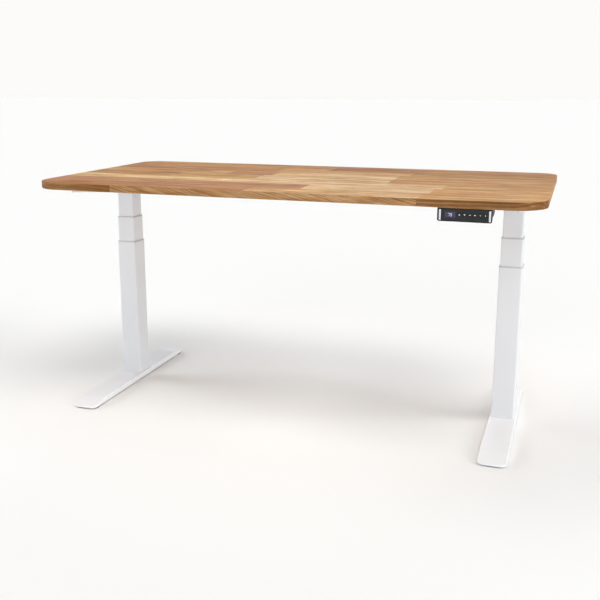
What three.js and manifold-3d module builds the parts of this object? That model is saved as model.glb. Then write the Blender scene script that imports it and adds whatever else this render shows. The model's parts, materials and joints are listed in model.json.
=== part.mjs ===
// Height adjustable standing desk: a solid oak top on two motorised three-stage columns.
// Millimetres, +Z up. Origin on the floor under the middle of the desktop, +X to the right of
// somebody sitting at the desk and +Y away from them. Everything is drawn at a desk height of
// DESK_HEIGHT, with both stages of each column partly extended.
import * as THREE from "three";
import { mergeVertices } from "three/addons/utils/BufferGeometryUtils.js";
import Module from "manifold-3d";

const wasm = await Module();
wasm.setup();

// ---------------------------------------------------------------- driving dimensions
const GAP = 0.3; // between two pieces that rest on each other

const DESK_HEIGHT = 788;
const TOP_WIDTH = 1600;
const TOP_DEPTH = 800;
const TOP_THICK = 23;
const TOP_CORNER_R = { front: 95, back: 60 }; // plan radii
const TOP_EASE = 2.5; // eased arris all round

const LEG_X = 687.5; // column axes, left and right of the middle
const LEG_Y = 33; // column axes behind the middle of the desktop
const TUBE_WALL = 2;
const TUBE_CORNER_R = 6;
const OUTER_SIZE = 72.5;
const MIDDLE_SIZE = 67.5;
const INNER_SIZE = 62.5;
const OUTER_TOP = 529.3; // top of the lower guide collar
const MIDDLE_TOP = 620.9; // top of the upper guide collar
const MIDDLE_BOTTOM = 121;
const INNER_BOTTOM = 226;
const END_PLATE = 4;
const COLLAR_HEIGHT = 3.4;
const COLLAR_PROUD = 0.5;

const FOOT_LENGTH = 680;
const FOOT_WIDTH = 85;
const FOOT_MID_Y = 4;
const FOOT_TOP = 22;
const FOOT_UNDER = 4;
const FOOT_LIP = 5; // height of the foot's nose
const FOOT_SLOPE = 66; // length of each sloping end
const FOOT_CORNER_R = 18;
const FOOT_SHEET = 3;
const GLIDE_R = 21;
const GLIDE_HEIGHT = 3.6;
const GLIDE_STEM_R = 4;
const GLIDE_INSET_X = 22; // glide centre from the foot's side
const GLIDE_INSET_Y = 29; // glide centre from the foot's end
const GLIDE_STEM_TOP = 12;
const GLIDE_BOSS_R = 8;
const ANCHOR_BOLT_R = 6; // holds the foot to the outer tube

// The drive's concentric parts, from the inside out
const UPPER_SCREW_R = 6;
const LOWER_SCREW_BORE_R = 7;
const LOWER_SCREW_R = 10;
const BASE_PIPE_BORE_R = 11;
const BASE_PIPE_R = 13;
const MIDDLE_PIPE_BORE_R = 14;
const MIDDLE_PIPE_R = 16;
const RUNNING_GAP = 0.5;
const BASE_PIPE_TOP = 400;
const LOWER_NUT_TOP = 416;
const LOWER_SCREW_TOP = 516.5;
const LOWER_SCREW_LENGTH = 385;
const LOWER_SCREW_HEAD = 8; // height of the bearing collar at its top
const MIDDLE_PIPE_TOP = 526.5;
const UPPER_NUT_HEIGHT = 17;
const UPPER_NUT_R = 13;
const UPPER_NUT_FLANGE = 5;
const UPPER_NUT_FLANGE_R = 20;
const UPPER_SCREW_BOTTOM = 242;

// The head of each column
const HEAD_BOTTOM = 712;
const HEAD_PLATE = 4;
const HEAD_HOLE_R = 9;
const HEAD_PLATE_BOX = { x0: -36, x1: 34, y0: -44, y1: 62 };
const DRIVE_Z = 736; // worm and motor axis
const WORM_Y = 27; // worm axis behind the screw axis
const WORM_R = 6.2;
const WORM_HALF = 12; // half the length of the toothed part
const WORM_TAPER = 2;
const WORM_JOURNAL_R = 4;
const WORM_EXIT_R = 10; // hole in the gearbox
const WORM_PLAY = 1; // at the shaft's two ends
const WHEEL_TEETH = 16;
const WHEEL_R = 20.5;
const WHEEL_ROOT_R = 17.6;
const WHEEL_WIDTH = 12;
const WHEEL_TOOTH = { root: [0.1, 0.4], tip: [0.6, 0.9] }; // shares of the pitch
const HUB_R = 11;
const HUB_PROUD = 3;
const GEARBOX = { x0: -28, x1: 28, y0: -27, y1: 40, top: 757 };
const GEARBOX_WALL = 4;
const MOTOR_R = 22.5;
const MOTOR_X0 = 36;
const MOTOR_LENGTH = 98;
const MOTOR_STEP = 4; // how much smaller the two ends are
const MOTOR_CAP = 16; // length of the end cap
const MOTOR_EASE = 2;
const MOTOR_CLEARANCE = 2; // round it, in the side bracket

const BRACKET_WIDTH = 66;
const BRACKET_SHEET = 2.5;
const BRACKET_REACH = 317; // from the column axis to either end
const BRACKET_SHALLOW = 22; // depth of the outer web at its two ends
const BRACKET_DEEP = 48;
const BRACKET_TAPER = 222; // length over which the depth changes
const BRACKET_LIP = 14; // depth of the inner flange along the two arms

const RAIL_HEIGHT = 35;
const RAIL_DEPTH = 22;
const RAIL_SHEET = 2;
const RAIL_TOP = 759;
const RAIL_YS = { front: -40, back: 131 };
const RAIL_OVERLAP = 150; // each rail passes the middle by this much

const BOX_X0 = 60;
const BOX_X1 = 320;
const BOX_Y0 = -6;
const BOX_Y1 = 94;
const BOX_BOTTOM = 727;
const BOX_WALL = 2.5;
const BOX_COVER = 4;
const BOX_COVER_CORNER_R = 6;
const BOX_EAR = 14;
const BOX_EAR_HOLE_R = 2.3;

const PAD_X0 = 513.7;
const PAD_X1 = 660.7;
const PAD_FRONT = -399;
const PAD_BACK = -324;
const PAD_BOTTOM = 728.5;
const PAD_FACE = 3; // thickness of the front panel
const PAD_CORNER_R = 5;
const PAD_SIDE_STEP = 1; // how far the housing stays inside the front panel
const PAD_DEEP = 8; // length of the housing's lowest part
const PAD_RISE = 22; // where its underside has come up
const PAD_RISE_Z = 11.5;
const PAD_TAIL = 20; // length of the slope at the back
const PAD_TAIL_Z = { start: 12.5, end: 20 };
const KEY_COUNT = 6;
const KEY_X0 = 573.6;
const KEY_PITCH = 13.87;
const KEY_Z = 748;
const KEY_WIDTH = 10;
const KEY_HEIGHT = 13;
const KEY_GAP = 0.4;
const KEY_CORNER_R = 1.7;
const KEY_THICK = 2.6;

const LEAD_R = 3;
const LEAD_END_GAP = 0.5;
const LEAD_STEP = 18; // length of one straight stretch of a lead
const LEAD_Z = 753; // where the leads run along under the desktop

// ---------------------------------------------------------------- materials
function material(color, roughness, metalness) {
  return new THREE.MeshStandardMaterial({ color, roughness, metalness });
}
const oak = () => material(0xc69a68, 0.5, 0);
const whiteCoat = () => material(0xe6e6e8, 0.45, 0.1);
const steel = () => material(0x9aa0a5, 0.3, 0.9);
const castAluminium = () => material(0xb4b7b9, 0.5, 0.8);
const brass = () => material(0xc0a050, 0.35, 0.9);
const blackPlastic = () => material(0x1c1c1e, 0.55, 0);
const darkGloss = () => material(0x242427, 0.2, 0);
const greyPlastic = () => material(0xbdbdbf, 0.6, 0);
const nylon = () => material(0xe9e6dc, 0.5, 0);

// ---------------------------------------------------------------- solids
function solid(geometry) {
  const bare = new THREE.BufferGeometry();
  const source = geometry.index ? geometry.toNonIndexed() : geometry;
  bare.setAttribute("position", source.getAttribute("position").clone());
  const merged = mergeVertices(bare, 1e-3);
  const vertProperties = new Float32Array(merged.attributes.position.array);
  const triVerts = new Uint32Array(merged.index.array);
  return new wasm.Manifold(new wasm.Mesh({ numProp: 3, vertProperties, triVerts }));
}

function geometryOf(manifold) {
  const mesh = manifold.getMesh();
  const points = new Float32Array(mesh.numVert * 3);
  for (let i = 0; i < mesh.numVert; i++) {
    const from = i * mesh.numProp;
    points.set(mesh.vertProperties.subarray(from, from + 3), i * 3);
  }
  const geometry = new THREE.BufferGeometry();
  geometry.setAttribute("position", new THREE.BufferAttribute(points, 3));
  geometry.setIndex(new THREE.BufferAttribute(mesh.triVerts, 1));
  geometry.computeVertexNormals();
  return geometry;
}

// A box given by its lowest and highest corners
function box(x0, x1, y0, y1, z0, z1) {
  const shape = new THREE.BoxGeometry(x1 - x0, y1 - y0, z1 - z0);
  return shape.translate((x0 + x1) / 2, (y0 + y1) / 2, (z0 + z1) / 2);
}

// Rectangle outline centred on (cx, cy) with round corners, as a shape or a hole
function roundRect(target, cx, cy, width, depth, radius, backRadius = radius) {
  const x0 = cx - width / 2;
  const x1 = cx + width / 2;
  const y0 = cy - depth / 2;
  const y1 = cy + depth / 2;
  target.moveTo(x0 + radius, y0);
  target.lineTo(x1 - radius, y0);
  target.absarc(x1 - radius, y0 + radius, radius, -Math.PI / 2, 0);
  target.lineTo(x1, y1 - backRadius);
  target.absarc(x1 - backRadius, y1 - backRadius, backRadius, 0, Math.PI / 2);
  target.lineTo(x0 + backRadius, y1);
  target.absarc(x0 + backRadius, y1 - backRadius, backRadius, Math.PI / 2, Math.PI);
  target.lineTo(x0, y0 + radius);
  target.absarc(x0 + radius, y0 + radius, radius, Math.PI, Math.PI * 1.5);
  return target;
}

// An outline in X and Y, raised from z0 to z1
function plate(shape, z0, z1, curveSegments = 4) {
  const options = { depth: z1 - z0, bevelEnabled: false, curveSegments };
  return new THREE.ExtrudeGeometry(shape, options).translate(0, 0, z0);
}

// An outline whose first axis is Y and second axis is Z, drawn out along X from x0 to x1
function alongX(shape, x0, x1, curveSegments = 4) {
  const options = { depth: x1 - x0, bevelEnabled: false, curveSegments };
  const drawn = new THREE.ExtrudeGeometry(shape, options);
  return drawn.rotateX(Math.PI / 2).rotateZ(Math.PI / 2).translate(x0, 0, 0);
}

// An outline whose first axis is X and second axis is Z, drawn out along Y from y0 to y1
function alongY(shape, y0, y1, curveSegments = 4) {
  const options = { depth: y1 - y0, bevelEnabled: false, curveSegments };
  return new THREE.ExtrudeGeometry(shape, options).rotateX(Math.PI / 2).translate(0, y1, 0);
}

function polygon(points) {
  return new THREE.Shape(points.map(([a, b]) => new THREE.Vector2(a, b)));
}

// A solid of revolution round +Z from [radius, z] pairs, listed bottom to top on the outside
function turned(profile, segments = 24) {
  const points = profile.map(([r, z]) => new THREE.Vector2(r, z));
  return new THREE.LatheGeometry(points, segments).rotateX(Math.PI / 2);
}

function rod(radius, z0, z1, segments) {
  return turned([[0, z0], [radius, z0], [radius, z1], [0, z1]], segments);
}

function ring(bore, radius, z0, z1, segments) {
  return turned([[bore, z0], [radius, z0], [radius, z1], [bore, z1], [bore, z0]], segments);
}

// A solid of revolution round the line along +X at height z and depth y
function turnedAlongX(profile, y, z, segments = 24) {
  return turned(profile, segments).rotateY(Math.PI / 2).translate(0, y, z);
}

function mesh(name, geometry, finish) {
  const made = new THREE.Mesh(geometry, finish);
  made.name = name;
  return made;
}

// ---------------------------------------------------------------- desktop
const UNDERSIDE = DESK_HEIGHT - TOP_THICK;

function desktop() {
  const inset = 2 * TOP_EASE;
  const front = TOP_CORNER_R.front - TOP_EASE;
  const back = TOP_CORNER_R.back - TOP_EASE;
  const width = TOP_WIDTH - inset;
  const outline = roundRect(new THREE.Shape(), 0, 0, width, TOP_DEPTH - inset, front, back);
  const options = {
    depth: TOP_THICK - inset,
    bevelSize: TOP_EASE,
    bevelThickness: TOP_EASE,
    bevelSegments: 1,
    curveSegments: 6,
  };
  const slab = new THREE.ExtrudeGeometry(outline, options).translate(0, 0, UNDERSIDE + TOP_EASE);
  return mesh("desktop", slab, oak());
}

// ---------------------------------------------------------------- columns
// Everything on a column is drawn round its axis, with +X towards the middle of the desk.

function squareTube(size, z0, z1) {
  const outline = roundRect(new THREE.Shape(), 0, 0, size, size, TUBE_CORNER_R);
  const bore = size - 2 * TUBE_WALL;
  outline.holes.push(roundRect(new THREE.Path(), 0, 0, bore, bore, TUBE_CORNER_R - TUBE_WALL));
  return plate(outline, z0, z1, 2);
}

// A flat plate that closes a tube's lower end, with a round hole for the drive
function endPlate(size, z0, holeR) {
  const side = size - TUBE_WALL;
  const outline = roundRect(new THREE.Shape(), 0, 0, side, side, TUBE_CORNER_R - TUBE_WALL / 2);
  const blank = solid(plate(outline, z0, z0 + END_PLATE, 2));
  return blank.subtract(solid(rod(holeR, z0 - 1, z0 + END_PLATE + 1, 16)));
}

function collar(around, passing, top) {
  const outer = around + 2 * COLLAR_PROUD;
  const bore = passing + 2 * RUNNING_GAP;
  const outline = roundRect(new THREE.Shape(), 0, 0, outer, outer, TUBE_CORNER_R);
  outline.holes.push(roundRect(new THREE.Path(), 0, 0, bore, bore, TUBE_CORNER_R));
  return plate(outline, top - COLLAR_HEIGHT, top, 2);
}

function outerTube() {
  const z0 = FOOT_TOP + GAP;
  const tube = solid(squareTube(OUTER_SIZE, z0, OUTER_TOP - COLLAR_HEIGHT - GAP));
  return geometryOf(tube.add(endPlate(OUTER_SIZE, z0, ANCHOR_BOLT_R)));
}

function middleTube() {
  const tube = solid(squareTube(MIDDLE_SIZE, MIDDLE_BOTTOM, MIDDLE_TOP - COLLAR_HEIGHT - GAP));
  return geometryOf(tube.add(endPlate(MIDDLE_SIZE, MIDDLE_BOTTOM, BASE_PIPE_R + RUNNING_GAP)));
}

function upperNut() {
  const z0 = MIDDLE_PIPE_TOP + GAP;
  const bore = UPPER_SCREW_R + RUNNING_GAP;
  const flange = z0 + UPPER_NUT_FLANGE;
  const top = z0 + UPPER_NUT_HEIGHT;
  return turned(
    [[bore, z0], [UPPER_NUT_FLANGE_R, z0], [UPPER_NUT_FLANGE_R, flange], [UPPER_NUT_R, flange],
      [UPPER_NUT_R, top], [bore, top], [bore, z0]],
    16,
  );
}

function lowerNut() {
  const z0 = BASE_PIPE_TOP + GAP;
  return ring(LOWER_SCREW_R + RUNNING_GAP, BASE_PIPE_R, z0, LOWER_NUT_TOP, 16);
}

// The hollow lower screw, with the collar of its bearing at the top
function lowerScrew() {
  const z1 = LOWER_SCREW_TOP;
  const z0 = z1 - LOWER_SCREW_LENGTH;
  const headR = MIDDLE_PIPE_BORE_R - RUNNING_GAP;
  const head = z1 - LOWER_SCREW_HEAD;
  return turned(
    [[LOWER_SCREW_BORE_R, z0], [LOWER_SCREW_R, z0], [LOWER_SCREW_R, head], [headR, head],
      [headR, z1], [LOWER_SCREW_BORE_R, z1], [LOWER_SCREW_BORE_R, z0]],
    16,
  );
}

// The worm wheel's outline: a trapezoid tooth for each pitch
function wheelOutline() {
  const points = [];
  const pitch = (2 * Math.PI) / WHEEL_TEETH;
  const at = (radius, angle) => points.push([radius * Math.cos(angle), radius * Math.sin(angle)]);
  for (let tooth = 0; tooth < WHEEL_TEETH; tooth++) {
    const start = tooth * pitch;
    for (const share of WHEEL_TOOTH.root) at(WHEEL_ROOT_R, start + pitch * share);
    for (const share of WHEEL_TOOTH.tip) at(WHEEL_R, start + pitch * share);
  }
  return polygon(points);
}

function upperScrew() {
  const wheelZ0 = DRIVE_Z - WHEEL_WIDTH / 2;
  const wheel = solid(plate(wheelOutline(), wheelZ0, wheelZ0 + WHEEL_WIDTH));
  const shaftTop = GEARBOX.top - GEARBOX_WALL - GAP;
  const shaft = solid(rod(UPPER_SCREW_R, UPPER_SCREW_BOTTOM, shaftTop, 16));
  const hubTop = wheelZ0 + WHEEL_WIDTH + HUB_PROUD;
  const hub = solid(rod(HUB_R, wheelZ0 - HUB_PROUD, hubTop, 16));
  return geometryOf(shaft.add(wheel).add(hub));
}

// Inverted tray over the worm wheel, open below, with a hole where the worm shaft leaves
function gearboxHousing() {
  const { x0, x1, y0, y1, top } = GEARBOX;
  const w = GEARBOX_WALL;
  const z0 = HEAD_BOTTOM + HEAD_PLATE + GAP;
  const shell = solid(box(x0, x1, y0, y1, z0, top));
  const cavity = solid(box(x0 + w, x1 - w, y0 + w, y1 - w, z0 - 1, top - w));
  const outside = x1 + 1;
  const profile = [[0, 0], [WORM_EXIT_R, 0], [WORM_EXIT_R, outside], [0, outside]];
  const exit = turnedAlongX(profile, WORM_Y, DRIVE_Z, 16);
  return geometryOf(shell.subtract(cavity).subtract(solid(exit)));
}

// Worm between its two journals; the far end is keyed to the motor
function wormShaft() {
  const start = GEARBOX.x0 + GEARBOX_WALL + WORM_PLAY;
  const end = MOTOR_X0 - WORM_PLAY;
  const journal = WORM_JOURNAL_R;
  const shoulder = WORM_HALF + WORM_TAPER;
  return turnedAlongX(
    [[0, start], [journal, start], [journal, -shoulder], [WORM_R, -WORM_HALF],
      [WORM_R, WORM_HALF], [journal, shoulder], [journal, end], [0, end]],
    WORM_Y,
    DRIVE_Z,
    16,
  );
}

// Tubular gear motor, lying along the crossbar
function motor() {
  const x0 = MOTOR_X0;
  const x1 = x0 + MOTOR_LENGTH;
  const nose = MOTOR_R - MOTOR_STEP;
  const cap = x1 - MOTOR_CAP;
  return turnedAlongX(
    [[0, x0], [nose, x0], [MOTOR_R, x0 + MOTOR_STEP], [MOTOR_R, cap - MOTOR_EASE], [nose, cap],
      [nose, x1 - MOTOR_EASE], [nose - MOTOR_EASE, x1], [0, x1]],
    WORM_Y,
    DRIVE_Z,
    16,
  );
}

function headBracket() {
  const { x0, x1, y0, y1 } = HEAD_PLATE_BOX;
  const z1 = HEAD_BOTTOM + HEAD_PLATE;
  const blank = solid(box(x0, x1, y0, y1, HEAD_BOTTOM + GAP, z1));
  return geometryOf(blank.subtract(solid(rod(HEAD_HOLE_R, HEAD_BOTTOM - 1, z1 + 1, 16))));
}

// Side outline of the bracket's outer web: deep over the column, shallow at both ends
function bracketSide() {
  const z1 = UNDERSIDE - GAP;
  const shallow = z1 - BRACKET_SHALLOW;
  const deep = z1 - BRACKET_DEEP;
  const knee = BRACKET_REACH - BRACKET_TAPER;
  return polygon([
    [-BRACKET_REACH, z1],
    [-BRACKET_REACH, shallow],
    [-knee, deep],
    [knee, deep],
    [BRACKET_REACH, shallow],
    [BRACKET_REACH, z1],
  ]);
}

// Sheet bracket under the desktop: full depth both sides at the column, an outer web and an inner
// lip along its two arms
function sideBracket() {
  const half = BRACKET_WIDTH / 2;
  const inner = half - BRACKET_SHEET;
  const end = BRACKET_REACH - BRACKET_SHEET;
  const knee = BRACKET_REACH - BRACKET_TAPER;
  const top = UNDERSIDE - GAP;
  const z0 = top - BRACKET_DEEP - 1;
  const lip = top - BRACKET_LIP;
  const room = MOTOR_R + MOTOR_CLEARANCE;
  const blank = solid(alongX(bracketSide(), -half, half));
  const cuts = [
    box(-inner, inner, -end, end, z0, top - BRACKET_SHEET),
    box(-inner, half + 1, -BRACKET_REACH - 1, -knee, z0, lip),
    box(-inner, half + 1, knee, BRACKET_REACH + 1, z0, lip),
    box(0, half + 1, WORM_Y - room, WORM_Y + room, z0, top - BRACKET_SHEET),
  ];
  return geometryOf(cuts.reduce((made, cut) => made.subtract(solid(cut)), blank));
}

// Where a glide sits, from the column axis
function glidePlace(index) {
  const x = (index % 2 ? 1 : -1) * (FOOT_WIDTH / 2 - GLIDE_INSET_X);
  const back = index > 1;
  const end = (back ? 1 : -1) * (FOOT_LENGTH / 2 - GLIDE_INSET_Y);
  return [x, FOOT_MID_Y - LEG_Y + end];
}

// The foot's outer form, or the hollow inside it
function footBlock(inset, top, lip) {
  const mid = FOOT_MID_Y - LEG_Y;
  const width = FOOT_WIDTH - 2 * inset;
  const length = FOOT_LENGTH - 2 * inset;
  const radius = FOOT_CORNER_R - inset;
  const plan = roundRect(new THREE.Shape(), 0, mid, width, length, radius);
  const y0 = mid - length / 2;
  const y1 = mid + length / 2;
  const base = FOOT_UNDER - (inset ? 1 : 0);
  const side = polygon([
    [y0, base],
    [y1, base],
    [y1, lip],
    [y1 - FOOT_SLOPE, top],
    [y0 + FOOT_SLOPE, top],
    [y0, lip],
  ]);
  return solid(plate(plan, base, top, 3)).intersect(solid(alongX(side, -width, width)));
}

// Sheet-steel foot, open below, with a threaded boss over each glide
function foot() {
  const slab = footBlock(0, FOOT_TOP, FOOT_UNDER + FOOT_LIP);
  const hollowLip = FOOT_UNDER + FOOT_LIP - FOOT_SHEET;
  let made = slab.subtract(footBlock(FOOT_SHEET, FOOT_TOP - FOOT_SHEET, hollowLip));
  for (let i = 0; i < 4; i++) {
    const [x, y] = glidePlace(i);
    const boss = solid(rod(GLIDE_BOSS_R, FOOT_UNDER, FOOT_TOP, 10)).translate([x, y, 0]);
    made = made.add(boss.intersect(slab));
  }
  for (let i = 0; i < 4; i++) {
    const [x, y] = glidePlace(i);
    const hole = solid(rod(GLIDE_STEM_R + GAP, 0, GLIDE_STEM_TOP + GAP, 10));
    made = made.subtract(hole.translate([x, y, 0]));
  }
  return geometryOf(made);
}

function glide() {
  return turned(
    [[0, 0], [GLIDE_R, 0], [GLIDE_R, GLIDE_HEIGHT], [GLIDE_STEM_R, GLIDE_HEIGHT],
      [GLIDE_STEM_R, GLIDE_STEM_TOP], [0, GLIDE_STEM_TOP]],
    14,
  );
}

function column(side) {
  const group = new THREE.Group();
  const add = (name, geometry, finish) => {
    const made = mesh(side + "_" + name, geometry, finish);
    group.add(made);
    return made;
  };
  add("foot", foot(), whiteCoat());
  for (let i = 0; i < 4; i++) {
    const [x, y] = glidePlace(i);
    add("glide_" + (i + 1), glide(), blackPlastic()).position.set(x, y, 0);
  }
  add("outer_tube", outerTube(), whiteCoat());
  add("middle_tube", middleTube(), whiteCoat());
  add("inner_tube", squareTube(INNER_SIZE, INNER_BOTTOM, HEAD_BOTTOM), whiteCoat());
  add("lower_collar", collar(OUTER_SIZE, MIDDLE_SIZE, OUTER_TOP), greyPlastic());
  add("upper_collar", collar(MIDDLE_SIZE, INNER_SIZE, MIDDLE_TOP), greyPlastic());
  const pipeFoot = FOOT_TOP + END_PLATE + 2 * GAP;
  add("base_standpipe", ring(BASE_PIPE_BORE_R, BASE_PIPE_R, pipeFoot, BASE_PIPE_TOP, 16), steel());
  add("lower_nut", lowerNut(), nylon());
  const sleeveFoot = MIDDLE_BOTTOM + END_PLATE + GAP;
  add(
    "middle_standpipe",
    ring(MIDDLE_PIPE_BORE_R, MIDDLE_PIPE_R, sleeveFoot, MIDDLE_PIPE_TOP, 16),
    steel(),
  );
  add("upper_nut", upperNut(), nylon());
  add("lower_screw", lowerScrew(), steel());
  add("upper_screw", upperScrew(), brass());
  add("head_bracket", headBracket(), whiteCoat());
  add("gearbox_housing", gearboxHousing(), castAluminium());
  add("worm_shaft", wormShaft(), steel());
  add("motor", motor(), blackPlastic());
  add("side_bracket", sideBracket(), whiteCoat());
  group.position.set(side === "left" ? -LEG_X : LEG_X, LEG_Y, 0);
  group.scale.x = side === "left" ? 1 : -1;
  return group;
}

// ---------------------------------------------------------------- crossbar
// Two telescoping rails, each a smaller channel inside a larger one, open towards the other rail.
function channel(height, depth, facing) {
  const d = (depth / 2) * facing;
  const s = RAIL_SHEET * facing;
  const z1 = RAIL_TOP - (RAIL_HEIGHT - height) / 2;
  const z0 = z1 - height;
  return polygon([
    [d, z0],
    [-d, z0],
    [-d, z1],
    [d, z1],
    [d, z1 - RAIL_SHEET],
    [-d + s, z1 - RAIL_SHEET],
    [-d + s, z0 + RAIL_SHEET],
    [d, z0 + RAIL_SHEET],
  ]);
}

function rail(name, place, side) {
  const facing = place === "front" ? 1 : -1;
  const shrink = side === "right" ? 2 * (RAIL_SHEET + GAP) : 0;
  const outline = channel(RAIL_HEIGHT - shrink, RAIL_DEPTH - shrink, facing);
  const end = LEG_X - BRACKET_WIDTH / 2 - GAP;
  const x0 = side === "left" ? -end : -RAIL_OVERLAP;
  const x1 = side === "left" ? RAIL_OVERLAP : end;
  const made = mesh(name, alongX(outline, x0, x1), whiteCoat());
  made.position.y = RAIL_YS[place];
  return made;
}

// ---------------------------------------------------------------- control box
const BOX_TOP = UNDERSIDE - GAP - BOX_COVER - GAP;
const INLET = { x: 290, width: 22, height: 15, depth: 14, z: 742 };

function controlBoxCase() {
  const w = BOX_WALL;
  const shell = solid(box(BOX_X0, BOX_X1, BOX_Y0, BOX_Y1, BOX_BOTTOM, BOX_TOP));
  const hollow = solid(box(BOX_X0 + w, BOX_X1 - w, BOX_Y0 + w, BOX_Y1 - w, BOX_BOTTOM + w,
    BOX_TOP + 1));
  const half = INLET.width / 2;
  const z0 = INLET.z - INLET.height / 2;
  const z1 = INLET.z + INLET.height / 2;
  const bossBack = BOX_Y1 - INLET.depth - w;
  const boss = solid(box(INLET.x - half - w, INLET.x + half + w, bossBack, BOX_Y1, z0 - w, z1 + w));
  const socket = solid(box(INLET.x - half, INLET.x + half, BOX_Y1 - INLET.depth, BOX_Y1 + 1,
    z0, z1));
  return mesh(
    "control_box_case",
    geometryOf(shell.subtract(hollow).add(boss).subtract(socket)),
    blackPlastic(),
  );
}

// Lid of the control box, whose two ears are screwed to the desktop
function controlBoxCover() {
  const z1 = UNDERSIDE - GAP;
  const midX = (BOX_X0 + BOX_X1) / 2;
  const midY = (BOX_Y0 + BOX_Y1) / 2;
  const width = BOX_X1 - BOX_X0 + 2 * BOX_EAR;
  const depth = BOX_Y1 - BOX_Y0;
  const outline = roundRect(new THREE.Shape(), midX, midY, width, depth, BOX_COVER_CORNER_R);
  for (const x of [BOX_X0 - BOX_EAR / 2, BOX_X1 + BOX_EAR / 2]) {
    const hole = new THREE.Path();
    hole.absarc(x, midY, BOX_EAR_HOLE_R, 0, Math.PI * 2);
    outline.holes.push(hole);
  }
  return mesh("control_box_cover", plate(outline, z1 - BOX_COVER, z1, 3), blackPlastic());
}

// ---------------------------------------------------------------- handset
const PAD_TOP = UNDERSIDE - GAP;

// Front outline in X and Z: square above, rounded where it hangs below the desktop
function padFront(target, x0, x1, z0, z1, radius) {
  target.moveTo(x0, z1);
  target.lineTo(x0, z0 + radius);
  target.absarc(x0 + radius, z0 + radius, radius, Math.PI, Math.PI * 1.5);
  target.lineTo(x1 - radius, z0);
  target.absarc(x1 - radius, z0 + radius, radius, -Math.PI / 2, 0);
  target.lineTo(x1, z1);
  return target;
}

function handsetFace() {
  const outline = padFront(new THREE.Shape(), PAD_X0, PAD_X1, PAD_BOTTOM, PAD_TOP, PAD_CORNER_R);
  const width = KEY_WIDTH + 2 * KEY_GAP;
  const height = KEY_HEIGHT + 2 * KEY_GAP;
  const radius = KEY_CORNER_R + KEY_GAP;
  for (let i = 0; i < KEY_COUNT; i++) {
    const x = KEY_X0 + i * KEY_PITCH;
    outline.holes.push(roundRect(new THREE.Path(), x, KEY_Z, width, height, radius));
  }
  const panel = alongY(outline, PAD_FRONT, PAD_FRONT + PAD_FACE, 2);
  return mesh("handset_face", panel, darkGloss());
}

// Housing behind the front panel: deep under the desktop, sloping up towards its back
function handsetBody() {
  const y0 = PAD_FRONT + PAD_FACE + GAP;
  const side = polygon([
    [y0, PAD_TOP],
    [y0, PAD_BOTTOM + PAD_SIDE_STEP],
    [y0 + PAD_DEEP, PAD_BOTTOM + PAD_SIDE_STEP],
    [y0 + PAD_RISE, PAD_BOTTOM + PAD_RISE_Z],
    [PAD_BACK - PAD_TAIL, PAD_BOTTOM + PAD_TAIL_Z.start],
    [PAD_BACK, PAD_BOTTOM + PAD_TAIL_Z.end],
    [PAD_BACK, PAD_TOP],
  ]);
  const housing = alongX(side, PAD_X0 + PAD_SIDE_STEP, PAD_X1 - PAD_SIDE_STEP);
  return mesh("handset_body", housing, blackPlastic());
}

function handsetKey(index) {
  const outline = roundRect(new THREE.Shape(), 0, 0, KEY_WIDTH, KEY_HEIGHT, KEY_CORNER_R);
  const key = mesh("key_" + (index + 1), alongY(outline, 0, KEY_THICK, 2), darkGloss());
  key.position.set(KEY_X0 + index * KEY_PITCH, PAD_FRONT, KEY_Z);
  return key;
}

// ---------------------------------------------------------------- leads held under the desktop
function lead(name, points) {
  const route = new THREE.CatmullRomCurve3(points.map((p) => new THREE.Vector3(...p)));
  route.curveType = "centripetal";
  const round = new THREE.Shape();
  round.absarc(0, 0, LEAD_R, 0, Math.PI * 2);
  const steps = Math.round(route.getLength() / LEAD_STEP);
  const options = { steps, bevelEnabled: false, extrudePath: route, curveSegments: 4 };
  return mesh(name, new THREE.ExtrudeGeometry(round, options), blackPlastic());
}

const MOTOR_END = LEG_X - MOTOR_X0 - MOTOR_LENGTH - GAP - LEAD_END_GAP;
const MOTOR_Y = LEG_Y + WORM_Y;

const leads = () => [
  lead("motor_cable_left", [
    [-MOTOR_END, MOTOR_Y, DRIVE_Z],
    [-MOTOR_END + 15, MOTOR_Y, DRIVE_Z],
    [-MOTOR_END + 60, MOTOR_Y + 6, LEAD_Z],
    [-300, MOTOR_Y + 8, LEAD_Z],
    [-100, MOTOR_Y + 4, LEAD_Z],
    [BOX_X0 - 70, MOTOR_Y, LEAD_Z - 1],
    [BOX_X0 - 25, MOTOR_Y, DRIVE_Z + 6],
    [BOX_X0 - LEAD_END_GAP, MOTOR_Y, DRIVE_Z + 3],
  ]),
  lead("motor_cable_right", [
    [MOTOR_END, MOTOR_Y, DRIVE_Z],
    [MOTOR_END - 15, MOTOR_Y, DRIVE_Z],
    [MOTOR_END - 60, MOTOR_Y + 5, LEAD_Z],
    [BOX_X1 + 90, MOTOR_Y + 5, LEAD_Z],
    [BOX_X1 + 30, MOTOR_Y + 3, DRIVE_Z + 6],
    [BOX_X1 + LEAD_END_GAP, MOTOR_Y, DRIVE_Z + 3],
  ]),
  lead("handset_cable", [
    [587, PAD_BACK + 0.6, 755],
    [587, PAD_BACK + 20, 755],
    [575, PAD_BACK + 80, LEAD_Z],
    [520, PAD_BACK + 150, LEAD_Z],
    [460, -110, LEAD_Z - 4],
    [430, -68, 722],
    [418, -40, 717],
    [402, -12, 724],
    [375, 14, 738],
    [350, 20, DRIVE_Z + 4],
    [BOX_X1 + LEAD_END_GAP, 20, DRIVE_Z + 3],
  ]),
];

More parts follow.
